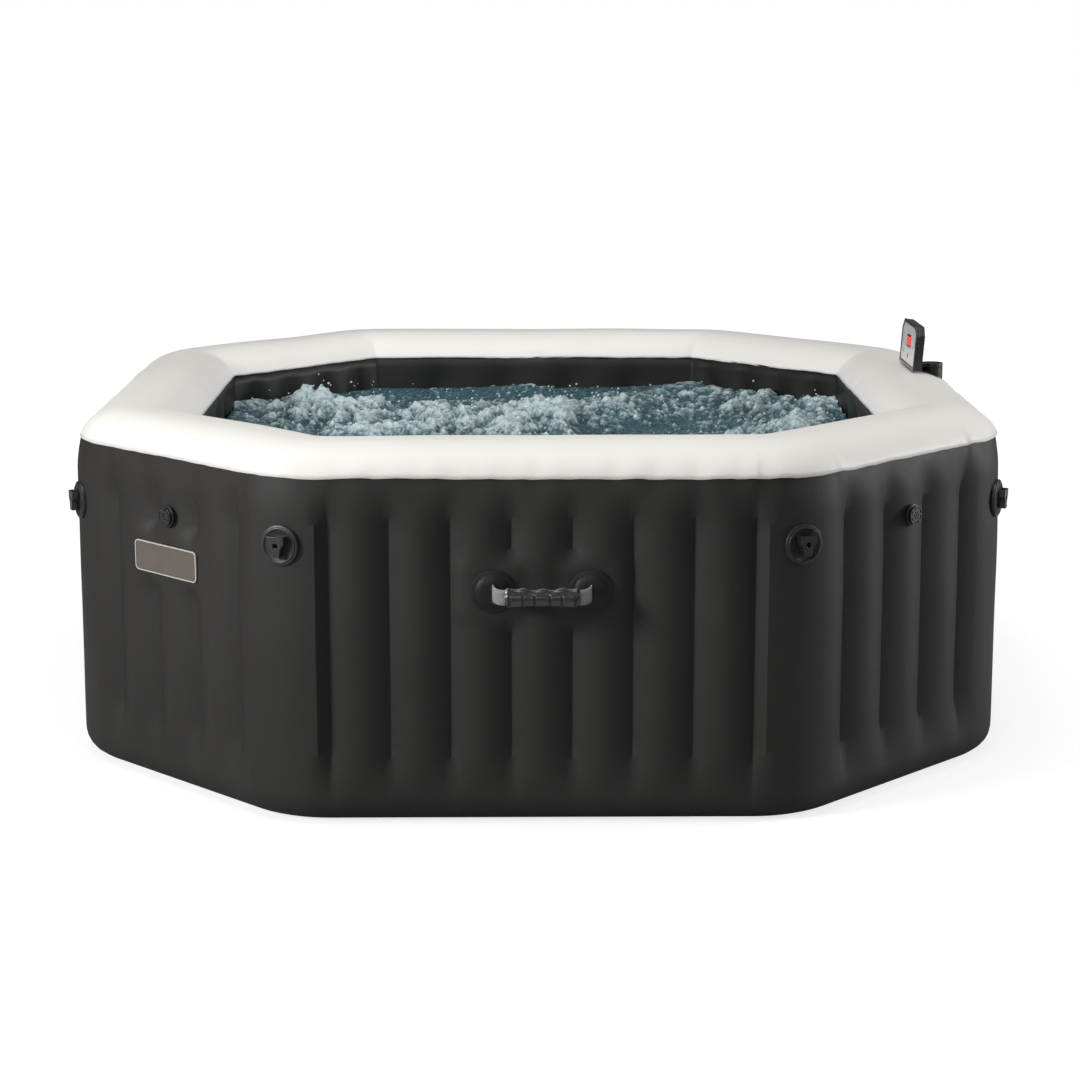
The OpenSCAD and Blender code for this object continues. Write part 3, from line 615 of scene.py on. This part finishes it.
bmesh.ops.recalc_face_normals(water_bm, faces=water_bm.faces)

water_look = bpy.data.materials.new("churned_water")
water_look.use_nodes = True
tree = water_look.node_tree
nodes = tree.nodes
nodes.clear()
depth_frame = nodes.new("NodeFrame")
depth_frame.label = "Clear water"
foam_frame = nodes.new("NodeFrame")
foam_frame.label = "Foam and bubbles"
place = nodes.new("ShaderNodeTexCoord")
place.label = "Place in the basin"
place.location = (-1300, 0)
foam_mark = nodes.new("ShaderNodeAttribute")
foam_mark.label = "Where the crests are"
foam_mark.location = (-1050, 420)
foam_mark.parent = foam_frame
foam_mark.attribute_name = "foam"
bubbles = nodes.new("ShaderNodeTexVoronoi")
bubbles.label = "Bubble cells"
bubbles.location = (-1050, 180)
bubbles.parent = foam_frame
bubbles.inputs["Scale"].default_value = 120
streaks = nodes.new("ShaderNodeTexNoise")
streaks.label = "Torn foam"
streaks.location = (-1050, -80)
streaks.parent = foam_frame
streaks.inputs["Scale"].default_value = 75
streaks.inputs["Detail"].default_value = 9.0
streaks.inputs["Roughness"].default_value = 0.72
streaks.inputs["Distortion"].default_value = 1.2
cover = nodes.new("ShaderNodeMath")
cover.label = "Crests torn by streaks"
cover.location = (-800, 260)
cover.parent = foam_frame
cover.operation = "MULTIPLY_ADD"
cover.inputs[1].default_value = 0.75
cut = nodes.new("ShaderNodeValToRGB")
cut.label = "Edge of the foam"
cut.location = (-560, 260)
cut.parent = foam_frame
cut.color_ramp.elements[0].position = 0.56
cut.color_ramp.elements[0].color = (0, 0, 0, 1)
cut.color_ramp.elements[1].position = 1.0
cut.color_ramp.elements[1].color = (0.80, 0.80, 0.80, 1)
tint = nodes.new("ShaderNodeValToRGB")
tint.label = "Teal depths to grey froth"
tint.location = (-560, -20)
tint.parent = depth_frame
tint.color_ramp.elements[0].position = 0.30
tint.color_ramp.elements[0].color = (0.010, 0.040, 0.050, 1)
tint.color_ramp.elements[1].position = 0.75
tint.color_ramp.elements[1].color = (0.085, 0.165, 0.185, 1)
ripple = nodes.new("ShaderNodeTexNoise")
ripple.label = "Small ripples"
ripple.location = (-1050, -380)
ripple.parent = depth_frame
ripple.inputs["Scale"].default_value = 70
ripple.inputs["Detail"].default_value = 5.0
ripple_bump = nodes.new("ShaderNodeBump")
ripple_bump.label = "Ripples in the light"
ripple_bump.location = (-560, -380)
ripple_bump.parent = depth_frame
ripple_bump.inputs["Strength"].default_value = 0.8
ripple_bump.inputs["Distance"].default_value = 0.004
bubble_bump = nodes.new("ShaderNodeBump")
bubble_bump.label = "Bubbles in the light"
bubble_bump.location = (-560, 520)
bubble_bump.parent = foam_frame
bubble_bump.inputs["Strength"].default_value = 0.9
bubble_bump.inputs["Distance"].default_value = 0.003
clear = nodes.new("ShaderNodeBsdfPrincipled")
clear.label = "Clear water"
clear.location = (-240, -100)
clear.parent = depth_frame
clear.inputs["Roughness"].default_value = 0.05
clear.inputs["IOR"].default_value = 1.33
froth = nodes.new("ShaderNodeBsdfPrincipled")
froth.label = "White foam"
froth.location = (-240, 420)
froth.parent = foam_frame
froth.inputs["Base Color"].default_value = (0.50, 0.60, 0.62, 1)
froth.inputs["Roughness"].default_value = 0.12
blend = nodes.new("ShaderNodeMixShader")
blend.label = "Foam over water"
blend.location = (60, 160)
output = nodes.new("ShaderNodeOutputMaterial")
output.location = (300, 160)
tree.links.new(place.outputs["Object"], bubbles.inputs["Vector"])
tree.links.new(place.outputs["Object"], streaks.inputs["Vector"])
tree.links.new(place.outputs["Object"], ripple.inputs["Vector"])
tree.links.new(foam_mark.outputs["Fac"], cover.inputs[0])
tree.links.new(streaks.outputs["Fac"], cover.inputs[2])
tree.links.new(cover.outputs["Value"], cut.inputs["Fac"])
tree.links.new(streaks.outputs["Fac"], tint.inputs["Fac"])
tree.links.new(tint.outputs["Color"], clear.inputs["Base Color"])
tree.links.new(ripple.outputs["Fac"], ripple_bump.inputs["Height"])
tree.links.new(ripple_bump.outputs["Normal"], clear.inputs["Normal"])
tree.links.new(bubbles.outputs["Distance"], bubble_bump.inputs["Height"])
tree.links.new(bubble_bump.outputs["Normal"], froth.inputs["Normal"])
tree.links.new(cut.outputs["Color"], blend.inputs["Fac"])
tree.links.new(clear.outputs["BSDF"], blend.inputs[1])
tree.links.new(froth.outputs["BSDF"], blend.inputs[2])
tree.links.new(blend.outputs["Shader"], output.inputs["Surface"])
make_piece("water", water_bm, water_look, "tub", (), 1.4)

# Drops thrown up over the crests, and bubbles that ride on them
random.seed(7)
drops_bm = bmesh.new()
drops_left = 520
while drops_left:
    x = random.uniform(-basin_half, basin_half) * 0.95
    y = random.uniform(-basin_half, basin_half) * 0.95
    rise, foam = churn(x, y)
    if abs(x) + abs(y) > 1.0 or random.random() > foam:
        continue
    leap = random.random() ** 3 * 0.045
    size = random.uniform(0.0014, 0.0042) * (1 - 8 * leap)
    spot = Matrix.Translation((x, y, water_z + rise + leap))
    bmesh.ops.create_icosphere(drops_bm, subdivisions=1, radius=size, matrix=spot)
    drops_left -= 1
foam_layer = drops_bm.verts.layers.float.new("foam")
for v in drops_bm.verts:
    v[foam_layer] = 1.0
make_piece("water_drops", drops_bm, water_look, "tub", (), 2.0)


# ---------------------------------------------------------------- name plate
# A thin blank plate is glued to the front left corner face. It is taupe plastic with a pale raised
# border and round corners.
def moulded(name, colour, roughness, texture, texture_height, coat=0.0):
    """Moulded plastic: one colour with a slightly worn sheen and a fine spark-eroded texture."""
    material = bpy.data.materials.new(name)
    material.use_nodes = True
    tree = material.node_tree
    nodes = tree.nodes
    nodes.clear()

    colour_frame = nodes.new("NodeFrame")
    colour_frame.label = "Colour"
    texture_frame = nodes.new("NodeFrame")
    texture_frame.label = "Mould texture"
    wear_frame = nodes.new("NodeFrame")
    wear_frame.label = "Handling wear"

    place = nodes.new("ShaderNodeTexCoord")
    place.label = "Place on the moulding"
    place.location = (-1000, 0)

    flow = nodes.new("ShaderNodeTexNoise")
    flow.label = "Flow of the plastic"
    flow.location = (-780, 280)
    flow.parent = colour_frame
    flow.inputs["Scale"].default_value = 28
    flow.inputs["Detail"].default_value = 3.0

    shades = nodes.new("ShaderNodeValToRGB")
    shades.label = "Close shades"
    shades.location = (-540, 280)
    shades.parent = colour_frame
    shades.color_ramp.elements[0].color = (*[c * 0.86 for c in colour], 1)
    shades.color_ramp.elements[1].color = (*[min(c * 1.12, 1.0) for c in colour], 1)

    pits = nodes.new("ShaderNodeTexNoise")
    pits.label = "Fine pits"
    pits.location = (-780, -260)
    pits.parent = texture_frame
    pits.inputs["Scale"].default_value = texture
    pits.inputs["Detail"].default_value = 2.0

    bump = nodes.new("ShaderNodeBump")
    bump.label = "Pitted surface"
    bump.location = (-540, -260)
    bump.parent = texture_frame
    bump.inputs["Strength"].default_value = 0.5
    bump.inputs["Distance"].default_value = texture_height

    rub = nodes.new("ShaderNodeTexNoise")
    rub.label = "Rubbed patches"
    rub.location = (-780, 20)
    rub.parent = wear_frame
    rub.inputs["Scale"].default_value = 60
    rub.inputs["Detail"].default_value = 6.0

    gloss = nodes.new("ShaderNodeMapRange")
    gloss.label = "Gloss of the patches"
    gloss.location = (-540, 20)
    gloss.parent = wear_frame
    gloss.inputs["To Min"].default_value = max(roughness - 0.08, 0.02)
    gloss.inputs["To Max"].default_value = roughness + 0.10

    surface = nodes.new("ShaderNodeBsdfPrincipled")
    surface.label = "Plastic"
    surface.location = (-220, 80)
    surface.inputs["Coat Weight"].default_value = coat
    surface.inputs["Coat Roughness"].default_value = 0.12

    output = nodes.new("ShaderNodeOutputMaterial")
    output.location = (80, 80)

    tree.links.new(place.outputs["Object"], flow.inputs["Vector"])
    tree.links.new(place.outputs["Object"], pits.inputs["Vector"])
    tree.links.new(place.outputs["Object"], rub.inputs["Vector"])
    tree.links.new(flow.outputs["Fac"], shades.inputs["Fac"])
    tree.links.new(shades.outputs["Color"], surface.inputs["Base Color"])
    tree.links.new(pits.outputs["Fac"], bump.inputs["Height"])
    tree.links.new(bump.outputs["Normal"], surface.inputs["Normal"])
    tree.links.new(rub.outputs["Fac"], gloss.inputs["Value"])
    tree.links.new(gloss.outputs["Result"], surface.inputs["Roughness"])
    tree.links.new(surface.outputs["BSDF"], output.inputs["Surface"])
    return material


def on_face(angle, s, z, dist):
    """Frame of a fitting: x along the face, y up, z out of it, dist from the tub's middle."""
    out = heading(angle)
    side = Vector((-out.y, out.x, 0))
    origin = out * dist + side * s + Vector((0, 0, z))
    rows = Matrix((side, Vector((0, 0, 1)), out)).transposed().to_4x4()
    return Matrix.Translation(origin) @ rows


def rounded_slab(bm, w, h, depth, r, z=0.0, segments=6):
    """Adds a plate with round corners, w wide and h high, whose back lies at z. Returns its faces."""
    box_geom = bmesh.ops.create_cube(bm, size=1, matrix=Matrix.Translation((0, 0, z + depth / 2))
                                     @ Matrix.Diagonal((w, h, depth, 1)))
    upright = [
        e for e in {e for v in box_geom["verts"] for e in v.link_edges}
        if abs((e.verts[0].co - e.verts[1].co).z) > depth * 0.9
    ]
    rounded = bmesh.ops.bevel(bm, geom=upright, offset=r, segments=segments, affect="EDGES",
                              profile=0.5, material=-1)
    return rounded["faces"]


plate_taupe = moulded("plate_taupe", (0.115, 0.098, 0.086), 0.36, 900, 0.0001)
plate_border = moulded("plate_border", (0.52, 0.49, 0.45), 0.32, 900, 0.0001)
plate_place = on_face(7 * math.pi / 4, -0.010, 0.453, short_dist + 0.0003)
plate_bm = bmesh.new()
rounded_slab(plate_bm, 0.190, 0.060, 0.0026, 0.010)
front_face = max(plate_bm.faces, key=lambda f: f.calc_center_median().z)
bmesh.ops.inset_region(plate_bm, faces=[front_face], thickness=0.0022, depth=0)
border_faces = [f for f in plate_bm.faces if f != front_face]
bmesh.ops.inset_region(plate_bm, faces=[front_face], thickness=0.0008, depth=-0.0008)
for border_face in border_faces:
    border_face.material_index = 1
plate_bm.transform(plate_place)
bmesh.ops.recalc_face_normals(plate_bm, faces=plate_bm.faces)
name_plate = make_piece("name_plate_face", plate_bm, plate_taupe, "tub", ["name_plate"], 0.5)
name_plate.data.materials.append(plate_border)


# ---------------------------------------------------------------- carry handles
# Each handle is a webbing strap between two round pads welded to the wall. A moulded grip with finger
# waves is threaded on it. The strap's ends swing in the pads.
pad_spacing = 0.180
root_out = 0.016
strap_out = 0.052
strap_w = 0.028
handle_faces = {"front": 0.0, "back": math.pi, "left": 3 * math.pi / 2}


def lathe(bm, profile, steps=48):
    """Spins a profile of [radius, height] points about z into a closed round body."""
    verts = [bm.verts.new((r, 0, z)) for r, z in profile]
    edges = [bm.edges.new(pair) for pair in zip(verts, verts[1:])]
    made = bmesh.ops.spin(bm, geom=verts + edges, cent=(0, 0, 0), axis=(0, 0, 1),
                          angle=math.tau, steps=steps, use_merge=True, use_duplicate=False)
    return made


def copy_to(bm, part, places):
    """Adds a copy of the part at each place to bm, with outward faces, and frees the part."""
    bmesh.ops.remove_doubles(part, verts=part.verts, dist=0.00001)
    bmesh.ops.recalc_face_normals(part, faces=part.faces)
    mesh = bpy.data.meshes.new("part")
    part.to_mesh(mesh)
    part.free()
    for place in places:
        start = len(bm.verts)
        bm.from_mesh(mesh)
        bm.verts.ensure_lookup_table()
        bmesh.ops.transform(bm, matrix=place, verts=bm.verts[start:])
    bpy.data.meshes.remove(mesh)


pad_vinyl = vinyl("pad_vinyl", (0.012, 0.012, 0.012), (0.020, 0.019, 0.019), 0.42, 700, 0.0003, 8.0)
pads_bm = bmesh.new()
pad_bm = bmesh.new()
lathe(pad_bm, [
    (0.0, 0.0003), (0.039, 0.0003), (0.040, 0.0008), (0.040, 0.0022), (0.0385, 0.0031),
    (0.033, 0.0033), (0.0315, 0.0040), (0.028, 0.0066), (0.022, 0.0088), (0.014, 0.0099), (0.0, 0.0102),
])
copy_to(pads_bm, pad_bm, [
    on_face(angle, s, handle_z, half)
    for angle in handle_faces.values() for s in (-pad_spacing / 2, pad_spacing / 2)
])
make_piece("handle_pad_domes", pads_bm, pad_vinyl, "tub", ["handle_pads"], 0.7)

webbing = bpy.data.materials.new("webbing")
webbing.use_nodes = True
tree = webbing.node_tree
nodes = tree.nodes
nodes.clear()
weave_frame = nodes.new("NodeFrame")
weave_frame.label = "Woven yarns"
place = nodes.new("ShaderNodeUVMap")
place.label = "Along and across the strap"
place.uv_map = "strap"
place.location = (-1000, 0)
weft = nodes.new("ShaderNodeTexWave")
weft.label = "Yarns across"
weft.location = (-760, 160)
weft.parent = weave_frame
weft.bands_direction = "X"
weft.inputs["Scale"].default_value = 180
weft.inputs["Distortion"].default_value = 0.6
warp = nodes.new("ShaderNodeTexWave")
warp.label = "Yarns along"
warp.location = (-760, -160)
warp.parent = weave_frame
warp.bands_direction = "Y"
warp.inputs["Scale"].default_value = 150
warp.inputs["Distortion"].default_value = 0.4
yarns = nodes.new("ShaderNodeMath")
yarns.label = "Over and under"
yarns.location = (-520, 0)
yarns.parent = weave_frame
yarns.operation = "MULTIPLY"
shades = nodes.new("ShaderNodeValToRGB")
shades.label = "Grey yarn and shadow"
shades.location = (-280, 140)
shades.parent = weave_frame
shades.color_ramp.elements[0].color = (0.10, 0.10, 0.10, 1)
shades.color_ramp.elements[1].color = (0.58, 0.58, 0.57, 1)
bump = nodes.new("ShaderNodeBump")
bump.label = "Raised yarns"
bump.location = (-280, -140)
bump.parent = weave_frame
bump.inputs["Strength"].default_value = 0.9
bump.inputs["Distance"].default_value = 0.0006
surface = nodes.new("ShaderNodeBsdfPrincipled")
surface.label = "Polyester"
surface.location = (40, 60)
surface.inputs["Roughness"].default_value = 0.75
surface.inputs["Sheen Weight"].default_value = 0.35
output = nodes.new("ShaderNodeOutputMaterial")
output.location = (340, 60)
tree.links.new(place.outputs["UV"], weft.inputs["Vector"])
tree.links.new(place.outputs["UV"], warp.inputs["Vector"])
tree.links.new(weft.outputs["Fac"], yarns.inputs[0])
tree.links.new(warp.outputs["Fac"], yarns.inputs[1])
tree.links.new(yarns.outputs["Value"], shades.inputs["Fac"])
tree.links.new(yarns.outputs["Value"], bump.inputs["Height"])
tree.links.new(shades.outputs["Color"], surface.inputs["Base Color"])
tree.links.new(bump.outputs["Normal"], surface.inputs["Normal"])
tree.links.new(surface.outputs["BSDF"], output.inputs["Surface"])

grip_black = moulded("grip_black", (0.024, 0.024, 0.025), 0.26, 700, 0.0002, coat=0.6)
grip_len = 0.136
grip_h = 0.036
grip_t = 0.020
panel_marks = [grip_len * k for k in (-0.44, -0.26, -0.10, 0.10, 0.26, 0.44)]


def strap_point(t):
    """Middle line of the strap from pad to pad for t from -1 to 1: [along, out]."""
    a = abs(t)
    if a < 0.62:
        along, out = a / 0.62 * 0.068, strap_out
    else:
        bend = (a - 0.62) / 0.38
        along = 0.068 + 0.022 * math.sin(bend * math.pi / 2)
        out = strap_out - (strap_out - root_out + 0.009) * (1 - math.cos(bend * math.pi / 2))
    return math.copysign(along, t), out


for handle, angle in handle_faces.items():
    strap_bm = bmesh.new()
    bmesh.ops.create_grid(strap_bm, x_segments=64, y_segments=4, size=1)
    uv = strap_bm.loops.layers.uv.new("strap")
    for face in strap_bm.faces:
        for loop in face.loops:
            loop[uv].uv = (loop.vert.co.x * 0.105, loop.vert.co.y * strap_w / 2)
    for v in strap_bm.verts:
        along, out = strap_point(v.co.x)
        v.co = (along, v.co.y * strap_w / 2, out)
    bmesh.ops.recalc_face_normals(strap_bm, faces=strap_bm.faces)
    strap_bm.transform(on_face(angle, 0, handle_z, half))
    strap = make_piece("webbing_" + handle, strap_bm, webbing, "handle_" + handle,
                       ["handle_strap_" + handle], 0.9)
    thickness = strap.modifiers.new("thickness", "SOLIDIFY")
    thickness.thickness = 0.0024
    thickness.offset = 0

    grip_bm = bmesh.new()
    bmesh.ops.create_grid(grip_bm, x_segments=44, y_segments=180, size=0.5)
    for v in grip_bm.verts:
        a = (v.co.x + 0.5) * math.tau
        t = v.co.y * grip_len
        waist = 1 - 0.14 * math.cos(math.pi * v.co.y * 0.96) ** 2
        end = 1 - 0.30 * smooth_step((abs(t) - grip_len / 2 + 0.007) / 0.007) ** 2
        up = math.copysign(abs(math.cos(a)) ** 0.55, math.cos(a))
        out = math.copysign(abs(math.sin(a)) ** 0.65, math.sin(a))
        # the front slopes back above the five panels, and a groove parts each two of them
        slope_back = 1 - 0.62 * smooth_step((up - 0.05) / 0.75) if out > 0 else 1.0
        groove = max(math.exp(-((t - mark) / 0.0016) ** 4) for mark in panel_marks)
        groove *= smooth_step((out - 0.4) / 0.3) * smooth_step((0.22 - up) / 0.12)
        wide = up * grip_h / 2 * waist * end
        wide += 0.0016 * math.cos(t / grip_len * 4 * math.tau) * max(math.cos(a), 0)
        deep = out * grip_t / 2 * end * slope_back - 0.0030 * groove
        v.co = (t, wide, strap_out + deep)
    bmesh.ops.remove_doubles(grip_bm, verts=grip_bm.verts, dist=0.00002)
    bmesh.ops.holes_fill(grip_bm, edges=[e for e in grip_bm.edges if e.is_boundary], sides=0)
    bmesh.ops.recalc_face_normals(grip_bm, faces=grip_bm.faces)
    grip_bm.transform(on_face(angle, 0, handle_z, half))
    make_piece("grip_" + handle, grip_bm, grip_black, "handle_" + handle,
               ["handle_grip_" + handle], 0.7)


# ---------------------------------------------------------------- cover buckles
# On each of the eight upright corners sits a round pad with a raised ring. A glossy socket on it takes
# the clip of a cover strap from above.
def rounded_copy(name, node, material, body, width=0.0006, segments=2):
    """A copy of a CAD node with its sharp edges broken, as a mould leaves them."""
    bm = bmesh.new()
    bm.from_mesh(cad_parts[node].data)
    bmesh.ops.remove_doubles(bm, verts=bm.verts, dist=0.00001)
    bmesh.ops.dissolve_limit(bm, angle_limit=0.01, verts=bm.verts, edges=bm.edges)
    piece = make_piece(name, bm, material, body, [node], 0.55)
    edges = piece.modifiers.new("broken edges", "BEVEL")
    edges.width = width
    edges.segments = segments
    edges.limit_method = "ANGLE"
    edges.angle_limit = 0.6
    return piece


socket_black = moulded("socket_black", (0.014, 0.014, 0.015), 0.22, 500, 0.0002, coat=0.4)
ring_black = moulded("ring_black", (0.019, 0.019, 0.019), 0.38, 800, 0.0003)
buckle_z = 0.528
corner_places = []
for n in range(8):
    angle = math.pi / 8 + n * math.pi / 4
    inset = corner_r * (1 / math.cos(math.pi / 8) - 1)
    corner = Matrix.Rotation((n // 2) * math.pi / 2, 3, "Z") @ (
        Vector((edge, -half, 0)) if n % 2 == 0 else Vector((half, -edge, 0))
    )
    out = heading(angle)
    side = Vector((-out.y, out.x, 0))
    rows = Matrix((side, Vector((0, 0, 1)), out)).transposed().to_4x4()
    corner_places.append(Matrix.Translation(corner - out * inset + Vector((0, 0, buckle_z))) @ rows)

buckle_rings_bm = bmesh.new()
buckle_ring_bm = bmesh.new()
lathe(buckle_ring_bm, [
    (0.0, -0.004), (0.0375, -0.004), (0.038, 0.0008), (0.0372, 0.0024), (0.0355, 0.0031),
    (0.0335, 0.0033), (0.0330, 0.0048), (0.0318, 0.0053), (0.0305, 0.0052), (0.0296, 0.0046),
    (0.0292, 0.0034), (0.0285, 0.0031), (0.0, 0.0031),
], 56)
copy_to(buckle_rings_bm, buckle_ring_bm, corner_places)
make_piece("cover_buckle_rings", buckle_rings_bm, ring_black, "tub",
           ["cover_buckle_pads"], 0.6)
rounded_copy("cover_buckle_mouths", "cover_buckle_sockets", socket_black, "tub", 0.0012, 3)


# ---------------------------------------------------------------- air inlets
# In the middle of each corner face a round vented cap turns in a flange. It lets air into the jet on
# the other side of the wall.
rounded_copy("air_inlet_collars", "air_inlet_flanges", ring_black, "tub", 0.0008, 3)
for n in range(1, 5):
    cap_name = f"air_cap_{n}"
    rounded_copy(cap_name + "_knob", cap_name, socket_black, cap_name, 0.0004)


# ---------------------------------------------------------------- jets
# Inside the wall, behind each air inlet, a jet blows water and air. Its ball turns in a ring that is
# screwed into the body.
jet_grey = moulded("jet_grey", (0.18, 0.18, 0.185), 0.34, 700, 0.0002)
rounded_copy("jet_housings", "jet_bodies", ring_black, "tub", 0.0008, 2)
rounded_copy("jet_faces", "jet_rings", jet_grey, "tub", 0.0006, 2)
for n in range(1, 5):
    jet_name = f"jet_nozzle_{n}"
    rounded_copy(jet_name + "_ball", jet_name, jet_grey, jet_name, 0.0006)


# ---------------------------------------------------------------- valves
# The inflation valve sits in the back wall and the drain valve low in the left one. Each has a lid on
# a tab, and a spring-loaded stem closes the inflation valve.
rounded_copy("inflation_valve_collar", "inflation_valve_body", ring_black, "tub", 0.0008)
rounded_copy("inflation_valve_plunger", "inflation_valve_stem", jet_grey, "inflation_valve_stem",
             0.0003)
rounded_copy("inflation_valve_lid", "inflation_valve_cap", socket_black, "inflation_valve_cap",
             0.0008, 3)
rounded_copy("drain_valve_collar", "drain_valve_body", ring_black, "tub", 0.0008)
rounded_copy("drain_valve_lid", "drain_cap", socket_black, "drain_cap", 0.0008, 3)


# ---------------------------------------------------------------- filters
# Two pleated paper cartridges sit on stubs low on the right wall under slotted caps, and a third
# fitting above them returns the warm water.
filter_paper = moulded("filter_paper", (0.62, 0.66, 0.68), 0.80, 1600, 0.0004)
rounded_copy("liner_fittings", "wall_fittings", ring_black, "tub", 0.001, 2)
for n in (1, 2):
    rounded_copy(f"filter_cap_{n}_cage", f"filter_cap_{n}", ring_black, f"filter_cap_{n}",
                 0.0006)
    rounded_copy(f"filter_cartridge_{n}_pleats", f"filter_cartridge_{n}", filter_paper,
                 f"filter_cartridge_{n}", 0.0004, 1)


# ---------------------------------------------------------------- pump base
# The right wall holds a moulded box with the pump, the heater and the air blower. Its cover is screwed
# on from outside and breathes through two stacks of slots.
cover_grey = moulded("cover_grey", (0.030, 0.030, 0.030), 0.46, 900, 0.0003)
rounded_copy("pump_base_cover", "base_cover", cover_grey, "tub", 0.0025, 4)
rounded_copy("pump_base_box", "base_housing", cover_grey, "tub", 0.0015, 2)


def brushed(name, colour, roughness, stretch):
    """Bare metal with fine lines left by the brush or the lathe."""
    material = bpy.data.materials.new(name)
    material.use_nodes = True
    tree = material.node_tree
    nodes = tree.nodes
    nodes.clear()
    place = nodes.new("ShaderNodeTexCoord")
    place.label = "Place on the metal"
    place.location = (-900, 0)
    turn = nodes.new("ShaderNodeMapping")
    turn.label = "Lines drawn out one way"
    turn.location = (-700, 0)
    turn.inputs["Scale"].default_value = stretch
    lines = nodes.new("ShaderNodeTexNoise")
    lines.label = "Brush lines"
    lines.location = (-480, 0)
    lines.inputs["Scale"].default_value = 60
    lines.inputs["Detail"].default_value = 6.0
    gloss = nodes.new("ShaderNodeMapRange")
    gloss.label = "Gloss of the lines"
    gloss.location = (-260, 60)
    gloss.inputs["To Min"].default_value = roughness - 0.08
    gloss.inputs["To Max"].default_value = roughness + 0.14
    bump = nodes.new("ShaderNodeBump")
    bump.label = "Depth of the lines"
    bump.location = (-260, -220)
    bump.inputs["Strength"].default_value = 0.2
    bump.inputs["Distance"].default_value = 0.0002
    surface = nodes.new("ShaderNodeBsdfPrincipled")
    surface.label = "Metal"
    surface.location = (0, 0)
    surface.inputs["Base Color"].default_value = (*colour, 1)
    surface.inputs["Metallic"].default_value = 1.0
    output = nodes.new("ShaderNodeOutputMaterial")
    output.location = (300, 0)
    tree.links.new(place.outputs["Object"], turn.inputs["Vector"])
    tree.links.new(turn.outputs["Vector"], lines.inputs["Vector"])
    tree.links.new(lines.outputs["Fac"], gloss.inputs["Value"])
    tree.links.new(lines.outputs["Fac"], bump.inputs["Height"])
    tree.links.new(gloss.outputs["Result"], surface.inputs["Roughness"])
    tree.links.new(bump.outputs["Normal"], surface.inputs["Normal"])
    tree.links.new(surface.outputs["BSDF"], output.inputs["Surface"])
    return material


inner_parts = {
    "base_cover_screws": brushed("screw_steel", (0.60, 0.60, 0.61), 0.30, (1, 1, 1)),
    "heater_tube": brushed("heater_steel", (0.64, 0.64, 0.65), 0.32, (1, 14, 1)),
    "pump_motor": moulded("motor_paint", (0.055, 0.065, 0.085), 0.40, 400, 0.0003),
    "control_board": moulded("board_green", (0.02, 0.10, 0.04), 0.35, 900, 0.0001),
    "pump_volute": jet_grey,
    "pump_impeller": jet_grey,
    "blower_housing": cover_grey,
    "blower_fan": jet_grey,
    "hoses": moulded("hose_grey", (0.50, 0.51, 0.51), 0.30, 200, 0.0002),
}
for node, material in inner_parts.items():
    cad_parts[node].data.materials.clear()
    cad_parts[node].data.materials.append(material)


# ---------------------------------------------------------------- control panel
# A slim black case with a silver face stands on a swivel on the right rim and leans back. Its smoked
# window shows the water's temperature in red, and six keys lie round it.
panel_black = moulded("panel_black", (0.016, 0.016, 0.017), 0.26, 700, 0.0002, coat=0.3)
panel_silver = moulded("panel_silver", (0.66, 0.66, 0.66), 0.30, 1200, 0.00008, coat=0.3)
key_grey = moulded("key_grey", (0.42, 0.43, 0.45), 0.35, 900, 0.0001)
key_red = moulded("key_red", (0.36, 0.03, 0.02), 0.35, 900, 0.0001)
window_smoke = moulded("window_smoke", (0.010, 0.004, 0.004), 0.08, 200, 0.00001, coat=1.0)
rounded_copy("panel_saddle", "panel_bracket", ring_black, "tub", 0.001, 2)
rounded_copy("panel_swivel_foot", "panel_swivel", ring_black, "control_panel", 0.001, 3)
rounded_copy("panel_back", "panel_shell", panel_black, "control_panel", 0.002, 4)
rounded_copy("panel_front_bezel", "panel_bezel", panel_black, "control_panel", 0.0015, 3)
rounded_copy("panel_silver_face", "panel_face", panel_silver, "control_panel", 0.0004, 2)
rounded_copy("panel_smoked_window", "display_window", window_smoke, "control_panel", 0.0005, 2)
for key in ("heat", "filter", "bubbles", "warmer", "cooler", "power"):
    key_look = key_red if key == "power" else key_grey
    rounded_copy(f"key_{key}", f"button_{key}", key_look, f"button_{key}", 0.0006, 3)

lit_red = bpy.data.materials.new("lit_red")
lit_red.use_nodes = True
lit_surface = lit_red.node_tree.nodes["Principled BSDF"]
lit_surface.inputs["Base Color"].default_value = (0.8, 0.03, 0.02, 1)
lit_surface.inputs["Emission Color"].default_value = (1.0, 0.05, 0.03, 1)
lit_surface.inputs["Emission Strength"].default_value = 3.0

tilt = math.radians(4)
panel_origin = Vector((half - 0.114, 0.100, 0.716))
panel_rows = Matrix((
    Vector((0, -1, 0)),
    Vector((math.sin(tilt), 0, math.cos(tilt))),
    Vector((-math.cos(tilt), 0, math.sin(tilt))),
)).transposed().to_4x4()
in_panel = Matrix.Translation(panel_origin) @ panel_rows
# Bars of a seven-bar figure: [across, up, is it upright]
bars = {
    "top": (0, 1, False), "middle": (0, 0, False), "bottom": (0, -1, False),
    "top left": (-1, 0.5, True), "top right": (1, 0.5, True),
    "low left": (-1, -0.5, True), "low right": (1, -0.5, True),
}
figures = {
    "3": ["top", "middle", "bottom", "top right", "low right"],
    "8": list(bars),
}
digits_bm = bmesh.new()
for figure, x in (("3", -0.010), ("8", 0.010)):
    for bar in figures[figure]:
        across, up, upright = bars[bar]
        size = (0.0016, 0.0064, 0.0003) if upright else (0.0064, 0.0016, 0.0003)
        bar_place = Matrix.Translation((x + across * 0.0044, 0.056 + up * 0.0078, 0.0001))
        bmesh.ops.create_cube(digits_bm, size=1, matrix=in_panel @ bar_place @ Matrix.Diagonal((*size, 1)))
make_piece("display_digits", digits_bm, lit_red, "control_panel", (), 0.5)
